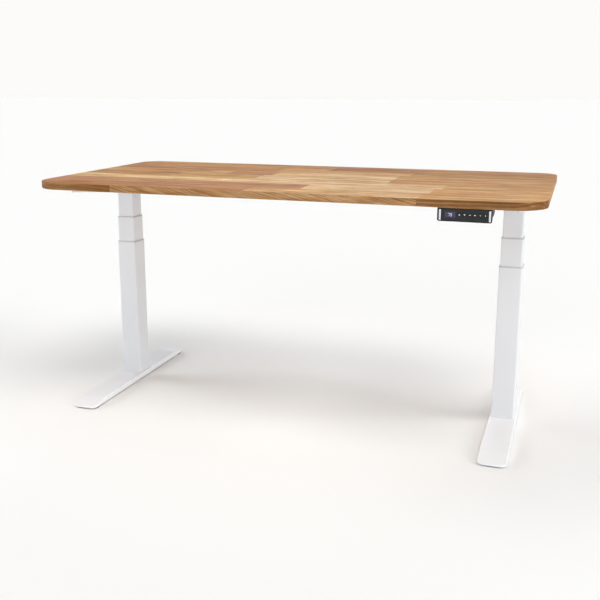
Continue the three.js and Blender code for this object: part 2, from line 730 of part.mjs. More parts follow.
// ---------------------------------------------------------------- assembly
const desk = new THREE.Group();
desk.add(desktop());
desk.add(column("left"));
desk.add(column("right"));
for (const place of ["front", "back"]) {
  desk.add(rail("crossbar_" + place + "_left", place, "left"));
  desk.add(rail("crossbar_" + place + "_right", place, "right"));
}
desk.add(controlBoxCase());
desk.add(controlBoxCover());
desk.add(handsetBody());
desk.add(handsetFace());
for (let i = 0; i < KEY_COUNT; i++) desk.add(handsetKey(i));
desk.add(...leads());

export default desk;
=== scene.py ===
"""Looks of the height adjustable standing desk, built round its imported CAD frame.

Shapes are drawn in millimetres in the row frame and become metres when a piece is made. Column
parts are drawn round the column's axis, with +X towards the middle of the desk.
"""

import json
import math
import random

import bmesh
import bpy
from mathutils import Matrix, Vector

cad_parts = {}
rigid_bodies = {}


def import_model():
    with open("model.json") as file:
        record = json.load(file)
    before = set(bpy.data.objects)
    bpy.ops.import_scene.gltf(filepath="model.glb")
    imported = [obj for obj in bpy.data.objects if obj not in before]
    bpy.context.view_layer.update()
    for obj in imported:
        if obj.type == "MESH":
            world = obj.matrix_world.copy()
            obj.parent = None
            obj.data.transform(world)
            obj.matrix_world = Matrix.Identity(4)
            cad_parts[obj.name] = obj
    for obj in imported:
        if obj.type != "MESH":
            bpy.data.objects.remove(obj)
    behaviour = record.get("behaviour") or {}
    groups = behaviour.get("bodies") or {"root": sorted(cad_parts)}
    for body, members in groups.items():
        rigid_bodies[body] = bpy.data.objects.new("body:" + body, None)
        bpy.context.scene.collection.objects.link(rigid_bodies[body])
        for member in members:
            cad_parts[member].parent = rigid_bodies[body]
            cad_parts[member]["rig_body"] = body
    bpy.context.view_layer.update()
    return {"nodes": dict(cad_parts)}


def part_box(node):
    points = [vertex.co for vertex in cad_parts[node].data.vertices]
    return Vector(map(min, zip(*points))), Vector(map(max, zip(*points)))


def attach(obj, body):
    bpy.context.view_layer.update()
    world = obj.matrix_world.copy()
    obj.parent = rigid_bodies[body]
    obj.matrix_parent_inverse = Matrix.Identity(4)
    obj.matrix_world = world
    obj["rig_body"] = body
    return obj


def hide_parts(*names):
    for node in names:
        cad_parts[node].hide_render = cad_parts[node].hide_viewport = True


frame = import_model()

MM = 0.001
WELD = 0.00001  # metres between points that are one
HERE = Matrix()
SIDES = ("left", "right")


def corners(node):
    """Lowest and highest corner of a CAD node, in millimetres."""
    low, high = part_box(node)
    return low / MM, high / MM


def middle(node):
    """Middle of a CAD node's box, in millimetres."""
    low, high = corners(node)
    return (low + high) / 2


def body_of(node):
    """The CAD body that a node rides on."""
    return frame["nodes"][node]["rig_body"]


# ------ outlines
def arc(cx, cy, radius, start, end, steps):
    """Points on an arc with both its ends; angles in degrees."""
    angles = [math.radians(start + (end - start) * i / steps) for i in range(steps + 1)]
    return [(cx + radius * math.cos(a), cy + radius * math.sin(a)) for a in angles]


def round_rect(width, depth, radius, cx=0.0, cy=0.0, steps=8, back=None):
    """Rectangle with round corners, anticlockwise; back is the radius of its upper two."""
    back = radius if back is None else back
    x, y = width / 2 - radius, depth / 2 - radius
    back_x, back_y = width / 2 - back, depth / 2 - back
    return (
        arc(cx + x, cy - y, radius, -90, 0, steps)
        + arc(cx + back_x, cy + back_y, back, 0, 90, steps)
        + arc(cx - back_x, cy + back_y, back, 90, 180, steps)
        + arc(cx - x, cy - y, radius, 180, 270, steps)
    )


def softened(points, radius, steps=4):
    """A closed outline whose corners are rounded; radius is one number or one for each corner."""
    radii = radius if isinstance(radius, (list, tuple)) else [radius] * len(points)
    made = []
    for i, corner in enumerate(points):
        here = Vector(corner)
        if not radii[i]:
            made.append(tuple(here))
            continue
        before = Vector(points[i - 1]) - here
        after = Vector(points[(i + 1) % len(points)]) - here
        half = before.angle(after) / 2
        reach = min(radii[i] / math.tan(half), before.length / 2.1, after.length / 2.1)
        start = here + before.normalized() * reach
        end = here + after.normalized() * reach
        for k in range(steps + 1):
            t = k / steps
            made.append(tuple(start * (1 - t) ** 2 + here * 2 * t * (1 - t) + end * t * t))
    return made


def raised(outline, level, along="z"):
    """A flat outline as points in space, at one level along an axis."""
    if along == "x":
        return [(level, u, v) for u, v in outline]
    if along == "y":
        return [(u, level, v) for u, v in outline]
    return [(u, v, level) for u, v in outline]


def stepped(size, radius, levels, centre=(0, 0), steps=8, along="z", least=0, back=None):
    """Rings of a round-cornered rectangle from (inset, level) pairs. Corners shrink with the inset,
    down to a radius of least; back is the radius of the upper two, if it differs."""
    rings = []
    for i, level in levels:
        width, depth = (length - 2 * i for length in size)
        behind = None if back is None else back - i
        outline = round_rect(width, depth, max(radius - i, least), *centre, steps, behind)
        rings.append(raised(outline, level, along))
    return rings


# ------ solids
def add_loft(bm, rings, at=HERE, cap=True, loop=False):
    """Skins a row of rings; loop joins the last ring to the first."""
    made = [[bm.verts.new(at @ Vector(p)) for p in ring] for ring in rings]
    pairs = list(zip(made, made[1:]))
    if loop:
        pairs.append((made[-1], made[0]))
    count = len(rings[0])
    for low, high in pairs:
        for i in range(count):
            j = (i + 1) % count
            bm.faces.new((low[i], low[j], high[j], high[i]))
    if cap and not loop:
        bm.faces.new(made[0][::-1])
        bm.faces.new(made[-1])
    return made


def add_prism(bm, outline, low, high, along="z", at=HERE):
    add_loft(bm, [raised(outline, low, along), raised(outline, high, along)], at)


def circle(radius, level, steps, lobes=None):
    """A ring of points; lobes maps an angle to a share of the radius."""
    points = []
    for i in range(steps):
        a = 2 * math.pi * i / steps
        r = radius * (lobes(a) if lobes else 1)
        points.append((r * math.cos(a), r * math.sin(a), level))
    return points


def add_turned(bm, profile, at=HERE, steps=48, bored=False):
    """A turned part from [radius, height] pairs up its outside; bored closes it through a hole."""
    add_loft(bm, [circle(r, z, steps) for r, z in profile], at, cap=not bored, loop=bored)


def add_pierced(bm, outline, holes, low, high, along="z", at=HERE):
    """A plate from an outline with holes in it."""
    edges = []
    for loop in [outline, *holes]:
        ring = [bm.verts.new(at @ Vector(p)) for p in raised(loop, low, along)]
        edges += [bm.edges.new((ring[i - 1], ring[i])) for i in range(len(ring))]
    filled = bmesh.ops.triangle_fill(bm, edges=edges, use_beauty=True, use_dissolve=False)
    faces = [g for g in filled["geom"] if isinstance(g, bmesh.types.BMFace)]
    drawn = bmesh.ops.extrude_face_region(bm, geom=faces, use_keep_orig=True)
    verts = [g for g in drawn["geom"] if isinstance(g, bmesh.types.BMVert)]
    axis = Vector(raised([(0, 0)], high - low, along)[0])
    bmesh.ops.translate(bm, verts=verts, vec=at.to_3x3() @ axis)


def add_sweep(bm, path, radius, sides=16, at=HERE):
    """A round bar along a path; radius is one number or one for each point."""
    points = [Vector(p) for p in path]
    radii = radius if isinstance(radius, list) else [radius] * len(points)
    ways = []
    for i in range(len(points)):
        ahead = points[min(i + 1, len(points) - 1)]
        behind = points[max(i - 1, 0)]
        ways.append((ahead - behind).normalized())
    across = ways[0].orthogonal().normalized()
    rings = []
    for point, way, r in zip(points, ways, radii):
        across = (across - way * across.dot(way)).normalized()
        other = way.cross(across)
        turns = [2 * math.pi * k / sides for k in range(sides)]
        rings.append([point + (across * math.cos(t) + other * math.sin(t)) * r for t in turns])
    add_loft(bm, rings, at)


def hexagon(a):
    """Share of the radius of a hexagon's outline at an angle."""
    third = math.pi / 3
    return math.cos(third / 2) / math.cos((a % third) - third / 2)


def cross(a):
    """Share of the radius of a cross recess at an angle."""
    quarter = math.pi / 2
    off = abs((a + quarter / 2) % quarter - quarter / 2)
    return 1.0 if off < 0.2 else 0.34


def add_screw(bm, at, head=4.6, height=2.6, shank=2.2, length=9.0, drive=cross, socket=0.52):
    """A screw whose head points along +Z from the origin, with its shank behind it."""
    steps = 32
    dome = [(1, 0), (1, 0.3), (0.93, 0.62), (0.78, 0.88), (0.62, 1)]  # shares of head and height
    rings = [circle(shank * 0.5, -length, steps), circle(shank, -length + 3, steps)]
    rings.append(circle(shank, 0.0, steps))
    rings += [circle(head * r, height * z, steps) for r, z in dome]
    rings.append(circle(head * socket, height, steps, drive))
    rings.append(circle(head * socket * 0.8, height * 0.3, steps, drive))
    add_loft(bm, rings, at)


def add_bolt(bm, place, washer, *screw):
    """A washer from its profile, with a screw on it; screw is what add_screw takes."""
    add_turned(bm, washer, place, 28)
    add_screw(bm, place @ Matrix.Translation((0, 0, washer[-1][1])), *screw)


def facing(point, direction):
    """Places something drawn along +Z at a point, looking along a direction."""
    turn = Vector((0, 0, 1)).rotation_difference(Vector(direction))
    return Matrix.Translation(Vector(point)) @ turn.to_matrix().to_4x4()


def smooth_route(points, steps):
    """Centripetal spline through points, with its ends run straight on."""
    known = [Vector(p) for p in points]
    known = [known[0] * 2 - known[1], *known, known[-1] * 2 - known[-2]]
    made = []
    for i in range(1, len(known) - 2):
        p0, p1, p2, p3 = known[i - 1 : i + 3]
        d0, d1, d2 = (max((b - a).length, 1e-4) ** 0.5 for a, b in ((p0, p1), (p1, p2), (p2, p3)))
        t1 = ((p1 - p0) / d0 - (p2 - p0) / (d0 + d1) + (p2 - p1) / d1) * d1
        t2 = ((p2 - p1) / d1 - (p3 - p1) / (d1 + d2) + (p3 - p2) / d2) * d1
        for k in range(steps):
            t = k / steps
            bend = (p1 - p2) * 2 + t1 + t2
            lift = (p2 - p1) * 3 - t1 * 2 - t2
            made.append(p1 + t1 * t + lift * t * t + bend * t**3)
    made.append(known[-2])
    return made


# ------ pieces
def placed(name, data):
    """A new object in the scene."""
    obj = bpy.data.objects.new(name, data)
    bpy.context.scene.collection.objects.link(obj)
    return obj


def shade(obj, bevel=0.0, angle=35, segments=3):
    """Rounds an object's hard edges by bevel millimetres and shades it smoothly."""
    if bevel:
        made = obj.modifiers.new("rounding", "BEVEL")
        made.width = bevel * MM
        made.segments = segments
        made.limit_method = "ANGLE"
        made.angle_limit = math.radians(angle)
        made.use_clamp_overlap = True
    even = obj.modifiers.new("shading", "WEIGHTED_NORMAL")
    even.keep_sharp = True
    even.weight = 80


def piece(name, bm, finish, node=None, body=None, bevel=0.0, angle=35, segments=3):
    """Makes an object of what was drawn. It stands for node and rides on its body, or else only
    rides on body."""
    bmesh.ops.recalc_face_normals(bm, faces=bm.faces)
    bmesh.ops.scale(bm, vec=(MM, MM, MM), verts=bm.verts)
    mesh = bpy.data.meshes.new(name)
    bm.to_mesh(mesh)
    bm.free()
    for material in finish if isinstance(finish, (list, tuple)) else [finish]:
        mesh.materials.append(material)
    mesh.polygons.foreach_set("use_smooth", [True] * len(mesh.polygons))
    mesh.set_sharp_from_angle(angle=math.radians(angle))
    obj = placed(name, mesh)
    shade(obj, bevel, angle, segments)
    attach(obj, body or body_of(node))
    if node:
        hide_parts(node)
    return obj


def fasteners(name, bm, node):
    """Zinc-plated screws that ride with a CAD node."""
    piece(name, bm, ZINC, body=body_of(node))


def paint_second(obj, is_second):
    """Gives an object's second finish to the faces of which is_second(corners) is true."""
    for polygon in obj.data.polygons:
        if is_second([obj.data.vertices[v].co / MM for v in polygon.vertices]):
            polygon.material_index = 1


def keep(node, material, bevel=0.0, angle=30):
    """Shows a CAD node itself, with its own finish and rounded edges."""
    obj = frame["nodes"][node]
    obj.data.materials.clear()
    obj.data.materials.append(material)
    obj.data.polygons.foreach_set("use_smooth", [True] * len(obj.data.polygons))
    weld = obj.modifiers.new("weld", "WELD")
    weld.merge_threshold = WELD
    if bevel:
        shade(obj, bevel, angle, 2)
    else:
        sharp = obj.modifiers.new("shading", "WEIGHTED_NORMAL")
        sharp.keep_sharp = True


# ------ material nodes
class Tree:
    """Adds nodes to a node tree. An input is a value, or the socket that feeds it."""

    def __init__(self, tree):
        self.tree = tree

    def feed(self, socket, value):
        if isinstance(value, bpy.types.NodeSocket):
            self.tree.links.new(value, socket)
        else:
            socket.default_value = value

    def add(self, kind, inputs=(), **settings):
        node = self.tree.nodes.new(kind)
        for key, value in settings.items():
            setattr(node, key, value)
        for key, value in dict(inputs).items():
            self.feed(node.inputs[key], value)
        return node


class Nodes(Tree):
    """Builds a material's nodes. Every method that draws gives back an output socket."""

    def __init__(self, name, colour, roughness, metallic=0.0, ior=1.5):
        self.material = bpy.data.materials.new(name)
        self.material.use_nodes = True
        super().__init__(self.material.node_tree)
        self.shader = self.tree.nodes["Principled BSDF"]
        self.material.diffuse_color = (*colour, 1)
        self.set("Base Color", (*colour, 1))
        self.set("Roughness", roughness)
        self.set("Metallic", metallic)
        self.set("IOR", ior)
        self.place = self.add("ShaderNodeTexCoord").outputs["Object"]

    def set(self, socket, value):
        self.feed(self.shader.inputs[socket], value)

    def math(self, operation, *values):
        inputs = dict(enumerate(values))
        return self.add("ShaderNodeMath", inputs, operation=operation).outputs[0]

    def vector(self, operation, *values):
        inputs = dict(enumerate(values))
        return self.add("ShaderNodeVectorMath", inputs, operation=operation).outputs[0]

    def noise(self, scale, detail=3.0, roughness=0.5, place=None, stretch=(1, 1, 1), distortion=0.0):
        """Noise with scale lumps a metre, more or fewer of them along each axis by stretch."""
        place = self.vector("MULTIPLY", place or self.place, stretch)
        inputs = {"Vector": place, "Scale": scale, "Detail": detail, "Roughness": roughness}
        return self.add("ShaderNodeTexNoise", {**inputs, "Distortion": distortion}).outputs["Fac"]

    def span(self, value, low, high, to_low=0.0, to_high=1.0, smooth=False):
        """Maps low to high onto to_low to to_high, held at its ends."""
        kind = "SMOOTHSTEP" if smooth else "LINEAR"
        inputs = {"Value": value, "From Min": low, "From Max": high, "To Min": to_low, "To Max": to_high}
        return self.add("ShaderNodeMapRange", inputs, interpolation_type=kind).outputs["Result"]

    def stain(self, share, colour, tint, under=None):
        """Multiplies a colour by a tint to a share; under is what the tint stains, if not colour."""
        tinted = self.mix(1.0, under or colour, tint, "MULTIPLY")
        return self.mix(share, colour, tinted)

    def mix(self, share, first, second, blend="MIX"):
        node = self.add("ShaderNodeMix", data_type="RGBA", blend_type=blend)
        self.feed(node.inputs[0], share)
        for index, colour in ((6, first), (7, second)):
            fixed = isinstance(colour, tuple)
            self.feed(node.inputs[index], (*colour, 1) if fixed else colour)
        return node.outputs[2]

    def bump(self, height, distance, strength=1.0, normal=None):
        """Bump from a height of 0 to 1 that stands for distance metres."""
        inputs = {"Height": height, "Distance": distance, "Strength": strength}
        if normal:
            inputs["Normal"] = normal
        out = self.add("ShaderNodeBump", inputs).outputs["Normal"]
        self.set("Normal", out)
        return out


def powder_coat(name, colour, roughness):
    """Baked powder coat: an even satin skin with a fine orange peel."""
    made = Nodes(name, colour, roughness)
    peel = made.noise(620, 2.5, 0.55)
    grain = made.noise(2600, 1.0)
    cloud = made.noise(9, 2.0)
    tint = made.span(cloud, 0.3, 0.7, 0.975, 1.0)
    cloudy = made.mix(tint, (0.9, 0.9, 0.9), (1, 1, 1))
    made.set("Base Color", made.mix(1.0, colour, cloudy, "MULTIPLY"))
    made.set("Roughness", made.span(peel, 0.25, 0.75, roughness - 0.05, roughness + 0.06))
    normal = made.bump(peel, 0.00006, 0.5)
    made.bump(grain, 0.00001, 0.4, normal)
    return made.material


def moulded(name, colour, roughness, grain=2200, depth=0.00003, sheen=0.05):
    """Moulded plastic with a fine eroded grain."""
    made = Nodes(name, colour, roughness)
    texture = made.noise(grain, 2.0, 0.6)
    flow = made.noise(30, 3.0, 0.6)
    worn = tuple(min(1.0, c * 1.18 + 0.004) for c in colour)
    made.set("Base Color", made.mix(made.span(flow, 0.35, 0.75), colour, worn))
    made.set("Roughness", made.span(texture, 0.3, 0.7, roughness - sheen, roughness + sheen))
    made.bump(texture, depth, 0.6)
    return made.material


def drawn_metal(name, colour, roughness, brushed=(1, 1, 1), depth=0.00001):
    """Bare metal with fine working marks, longer along the axes with a small stretch."""
    made = Nodes(name, colour, roughness, 1.0)
    marks = made.noise(1800, 3.0, 0.65, stretch=brushed)
    stain = made.noise(60, 3.0, 0.6)
    dull = tuple(c * 0.86 for c in colour)
    made.set("Base Color", made.mix(made.span(stain, 0.35, 0.7), dull, colour))
    made.set("Roughness", made.span(marks, 0.3, 0.7, roughness * 0.75, roughness * 1.3))
    made.bump(marks, depth, 0.4)
    return made.material


def cast_metal(name, colour, roughness):
    """Die-cast metal with a rough skin."""
    made = Nodes(name, colour, roughness, 0.9)
    skin = made.noise(900, 4.0, 0.65)
    patch = made.noise(45, 3.0)
    dull = tuple(c * 0.8 for c in colour)
    made.set("Base Color", made.mix(made.span(patch, 0.3, 0.7), dull, colour))
    made.set("Roughness", made.span(skin, 0.3, 0.7, roughness - 0.1, roughness + 0.12))
    made.bump(skin, 0.00008, 0.5)
    return made.material


def lit(name, colour, strength):
    """A lit segment behind a window, a little uneven as a small lamp is."""
    made = Nodes(name, tuple(c * 0.4 for c in colour), 0.4)
    made.set("Emission Color", (*colour, 1))
    made.set("Emission Strength", strength)
    glow = made.noise(900, 1.0)
    made.set("Roughness", made.span(glow, 0.3, 0.7, 0.35, 0.5))
    return made.material


# ------ oak
EARLYWOOD = (0.70, 0.60, 0.50)
PORE = (0.42, 0.28, 0.17)
RING_WIDTH = 0.0036  # metres, where the rings are finest
EDGE_CONTRAST = 1.6  # ring width from which the early wood shows fully
FIBRE_SHADE = (0.78, 0.72, 0.65)
RAY_FLECK = (1.22, 1.20, 1.16)
DARK_STREAK = (0.72, 0.62, 0.50)
PALE_STREAK = (1.16, 1.20, 1.26)
RED_CLOUD = (0.90, 0.77, 0.62)
CREAM_CLOUD = (1.10, 1.20, 1.38)
DARK = (0.62, 0.50, 0.42)
PLUM = (0.72, 0.52, 0.62)
LIGHT = (1.16, 1.20, 1.34)
PATCHES = (  # soft places in the grain: x, y, half length, half width, depth, tint
    (-505, 12, 40, 20, 0.75, DARK),
    (-655, -338, 60, 26, 0.6, PLUM),
    (-735, 165, 36, 18, 0.5, DARK),
    (735, 262, 44, 26, 0.55, DARK),
    (26, 262, 24, 50, 0.5, DARK),
    (-270, -20, 60, 36, 0.4, DARK),
    (40, -232, 26, 34, 0.4, PLUM),
    (-190, -130, 70, 42, 1.0, LIGHT),
    (-40, -110, 60, 50, 0.9, LIGHT),
    (110, -140, 90, 46, 0.6, LIGHT),
    (285, -112, 44, 40, 0.8, LIGHT),
    (-590, -120, 120, 40, 0.4, LIGHT),
    (96, -328, 100, 44, 1.0, LIGHT),
    (110, -330, 70, 40, 0.8, LIGHT),
    (455, -404, 60, 22, 0.9, LIGHT),
    (250, -404, 90, 18, 0.6, LIGHT),
    (300, -350, 80, 30, 0.7, LIGHT),
    (403, -360, 60, 34, 0.5, LIGHT),
    (-311, -154, 110, 50, 1.0, LIGHT),
    (-140, -302, 90, 44, 0.9, LIGHT),
    (80, 120, 130, 50, 0.5, LIGHT),
)


def oak():
    """Solid oak that is cut from three-dimensional growth rings, board by board.

    The faces carry board_tone (its alpha is how coarse the rings are), board_pith (y and z of the
    tree's middle in metres, and how far the board leans from it along X) and board_seed."""
    made = Nodes("oiled_oak", (0.55, 0.34, 0.18), 0.5, ior=1.45)
    made.set("Specular IOR Level", 0.16)
    board = made.add("ShaderNodeAttribute", attribute_name="board_tone").outputs
    wood, coarse = board["Color"], board["Alpha"]
    pith = made.add("ShaderNodeAttribute", attribute_name="board_pith").outputs["Vector"]
    seed = made.add("ShaderNodeAttribute", attribute_name="board_seed").outputs["Vector"]
    here = made.add("ShaderNodeSeparateXYZ", {"Vector": made.place}).outputs
    pith = made.add("ShaderNodeSeparateXYZ", {"Vector": pith}).outputs
    moved = made.vector("ADD", made.place, made.vector("MULTIPLY", seed, (5.0, 3.0, 2.0)))

    # growth rings
    wander = made.noise(1.0, 2.0, 0.5, moved, (3.2, 9.0, 9.0))
    wander = made.math("MULTIPLY", made.math("SUBTRACT", wander, 0.5), 0.020)
    ripple = made.noise(1.0, 3.0, 0.6, moved, (16.0, 60.0, 60.0))
    ripple = made.math("MULTIPLY", made.math("SUBTRACT", ripple, 0.5), 0.0035)
    lean = made.math("MULTIPLY", here["X"], pith["Z"])
    dy = made.math("ADD", made.math("SUBTRACT", here["Y"], pith["X"]), wander)
    dz = made.math("ADD", made.math("SUBTRACT", here["Z"], pith["Y"]), lean)
    dz = made.math("ADD", dz, wander)
    radius = made.math("SQRT", made.math("ADD", made.math("POWER", dy, 2), made.math("POWER", dz, 2)))
    radius = made.math("ADD", radius, ripple)
    outward = made.add("ShaderNodeCombineXYZ", {"X": radius}).outputs[0]
    growth = made.noise(1.0, 1.0, 0.5, outward, (70, 1, 1))
    years = made.math("DIVIDE", radius, made.math("MULTIPLY", coarse, RING_WIDTH))
    years = made.math("ADD", years, made.math("MULTIPLY", growth, 3.0))
    season = made.math("FRACT", years)
    early = made.math(
        "MULTIPLY",
        made.span(season, 0.0, 0.07, smooth=True),
        made.span(season, 0.16, 0.62, 1.0, 0.0, smooth=True),
    )

    # fibres, streaks, pores and ray flecks
    streak = made.noise(1.0, 4.0, 0.62, moved, (3.2, 48.0, 48.0), 0.5)
    fibre = made.noise(1.0, 5.0, 0.7, moved, (9.0, 620.0, 620.0))
    pore = made.noise(1.0, 2.0, 0.5, moved, (190.0, 3600.0, 3600.0))
    pore = made.math("MULTIPLY", made.span(pore, 0.60, 0.68), made.span(early, 0.0, 0.6, 0.25, 1.0))
    fleck = made.noise(1.0, 2.0, 0.5, moved, (70.0, 55.0, 260.0), 1.2)
    fleck = made.span(fleck, 0.60, 0.70, smooth=True)

    broad = made.noise(1.0, 3.0, 0.6, moved, (4.5, 26.0, 26.0), 0.6)
    figure = made.noise(1.0, 2.5, 0.6, moved, (17.0, 24.0, 24.0), 0.7)
    colour = made.stain(made.span(streak, 0.49, 0.63, 0.0, 0.9), wood, DARK_STREAK)
    colour = made.stain(made.span(streak, 0.38, 0.50, 0.9, 0.0), colour, PALE_STREAK, under=wood)
    colour = made.stain(made.span(figure, 0.50, 0.62, 0.0, 0.5), colour, CREAM_CLOUD)
    colour = made.stain(made.span(figure, 0.36, 0.48, 0.4, 0.0), colour, RED_CLOUD)
    colour = made.stain(made.span(broad, 0.50, 0.64, 0.0, 0.85), colour, RED_CLOUD)
    colour = made.stain(made.span(broad, 0.36, 0.50, 0.9, 0.0), colour, CREAM_CLOUD)
    contrast = made.span(coarse, 1.0, EDGE_CONTRAST, 0.55, 1.0)
    colour = made.stain(made.math("MULTIPLY", early, contrast), colour, EARLYWOOD)
    colour = made.stain(made.span(fibre, 0.35, 0.72, 0.0, 0.42), colour, FIBRE_SHADE)
    colour = made.stain(made.math("MULTIPLY", fleck, 0.22), colour, RAY_FLECK)
    for x, y, length, width, depth, tint in PATCHES:
        away = made.vector("SUBTRACT", made.place, (x * MM, y * MM, 0.0))
        away = made.vector("MULTIPLY", away, (1 / (length * MM), 1 / (width * MM), 0.0))
        away = made.add("ShaderNodeVectorMath", {0: away}, operation="LENGTH").outputs["Value"]
        away = made.math("ADD", away, made.math("MULTIPLY", made.math("SUBTRACT", streak, 0.5), 0.9))
        shade_in = made.math("MULTIPLY", made.span(away, 0.25, 1.25, 1.0, 0.0, smooth=True), depth)
        colour = made.stain(shade_in, colour, tint)
    colour = made.stain(made.math("MULTIPLY", pore, 0.6), colour, PORE)
    made.set("Base Color", colour)

    sheen = made.span(fibre, 0.3, 0.7, 0.56, 0.68)
    sheen = made.math("SUBTRACT", sheen, made.math("MULTIPLY", early, 0.04))
    made.set("Roughness", made.math("ADD", sheen, made.math("MULTIPLY", pore, 0.2)))
    surface = made.math("SUBTRACT", made.math("MULTIPLY", fibre, 0.35), made.math("MULTIPLY", pore, 0.8))
    surface = made.math("SUBTRACT", surface, made.math("MULTIPLY", early, 0.15))
    made.bump(surface, 0.00012, 0.6)
    return made.material


# ------ finishes
WHITE = powder_coat("white_powder_coat", (0.80, 0.80, 0.82), 0.40)
# The legs' white powder coat made lighter for the feet: painted light that stands in for the light on the
# feet's tops.
FOOT_WHITE_PAINTED_LIGHT = powder_coat("white_coat_painted_light", (0.90, 0.90, 0.915), 0.40)
GUIDE = moulded("guide_plastic", (0.60, 0.60, 0.62), 0.5, 1500, 0.00002)
BLACK = moulded("black_plastic", (0.018, 0.018, 0.019), 0.5)
RUBBER = moulded("glide_rubber", (0.010, 0.010, 0.011), 0.7, 1500, 0.00005)
SHEATH = moulded("cable_sheath", (0.02, 0.02, 0.021), 0.42, 700, 0.00004)
GLOSS = moulded("charcoal_gloss", (0.012, 0.012, 0.013), 0.22, 300, 0.000004, 0.04)
PANEL = moulded("charcoal_panel", (0.017, 0.017, 0.018), 0.32, 400, 0.000004, 0.04)
PRINT = moulded("pale_print", (0.72, 0.72, 0.70), 0.5, 900, 0.000003)
CHROME = drawn_metal("bright_chrome", (0.86, 0.86, 0.88), 0.10, (1, 1, 0.04), 0.000002)
STEEL = drawn_metal("bright_steel", (0.62, 0.63, 0.65), 0.30, (1, 1, 0.2))
ZINC = drawn_metal("zinc_plate", (0.66, 0.67, 0.68), 0.34)
BRASS = drawn_metal("brass", (0.62, 0.46, 0.20), 0.30, (1, 1, 0.2))
CAST = cast_metal("cast_aluminium", (0.52, 0.53, 0.55), 0.5)
PAINTED = powder_coat("black_painted_metal", (0.022, 0.022, 0.024), 0.38)
NYLON = moulded("nut_plastic", (0.80, 0.78, 0.70), 0.45, 1200, 0.00002)
for dark in (GLOSS, PANEL):
    dark.node_tree.nodes["Principled BSDF"].inputs["Specular IOR Level"].default_value = 0.28
GLASS = moulded("display_window", (0.040, 0.034, 0.075), 0.16, 300, 0.000002, 0.03)
DIGITS = lit("display_digits", (0.55, 0.50, 0.86), 0.85)
OAK = oak()

# ------ desktop
TOP_LOW, TOP_HIGH = corners("desktop")
TOP_CORNER = 95  # plan radius of the two corners in front
TOP_BACK_CORNER = 60
TOP_EASE = 2.5
BOARD = 106.7  # width of the full boards
FLAT_SHARE = 0.45  # of the boards, those that are cut so that their rings lie flat
LEVEL = 0.8  # a face whose normal is steeper belongs to the top's flat sides, not to its edge
TONE_GAIN = (0.95, 0.935, 0.82)  # from a board's look under the studio light to its own colour


def tone(red, green, blue):
    """A colour as seen, 0 to 255, as the linear colour of the wood itself."""
    seen = [c / 255 for c in (red, green, blue)]
    linear = [c / 12.92 if c < 0.04 else ((c + 0.055) / 1.055) ** 2.4 for c in seen]
    return [gain * c for gain, c in zip(TONE_GAIN, linear)]


RUSSET = (195, 140, 101)
BROWN = (188, 138, 94)
UMBER = (176, 124, 84)
TAN = (208, 162, 114)
HONEY = (218, 174, 127)
CREAM = (226, 188, 138)
PALE = (225, 187, 145)
EDGE_BROWN = (152, 110, 67)
EDGE_TAN = (189, 150, 111)
EDGE_RED = (151, 109, 69)

# Boards of each row from the front, as (right end, colour); the last one runs to the right side
ROWS = (
    ((-62, RUSSET), (458, HONEY), (800, (213, 163, 107))),
    ((84, (198, 147, 110)), (470, PALE), (800, (210, 157, 101))),
    ((-150, CREAM), (490, PALE), (800, (201, 152, 95))),
    ((-462, BROWN), (-150, TAN), (300, PALE), (800, (195, 142, 88))),
    ((-300, TAN), (-130, (196, 146, 104)), (300, PALE), (800, (199, 149, 93))),
    ((-155, (191, 141, 100)), (330, TAN), (800, (188, 139, 82))),
    ((20, (197, 149, 100)), (360, UMBER), (800, (184, 132, 77))),
    ((-420, TAN), (120, BROWN), (800, (186, 134, 78))),
)
# The same for the strip that faces the sitter, and for each how far its rings lean and how much
# wider than on the top they show
FRONT_EDGE = ((-505, EDGE_BROWN), (455, EDGE_TAN), (800, EDGE_RED))
EDGE_LEANS = (0.05, 0.26, -0.02)
EDGE_WIDER = (1.9, 2.3, 2.6)
EDGE_STEEP = 0.2  # lean past which the tree's middle lies far below
EDGE_NEAR = 60  # how far below the top it lies elsewhere
EDGE_FAR = 420


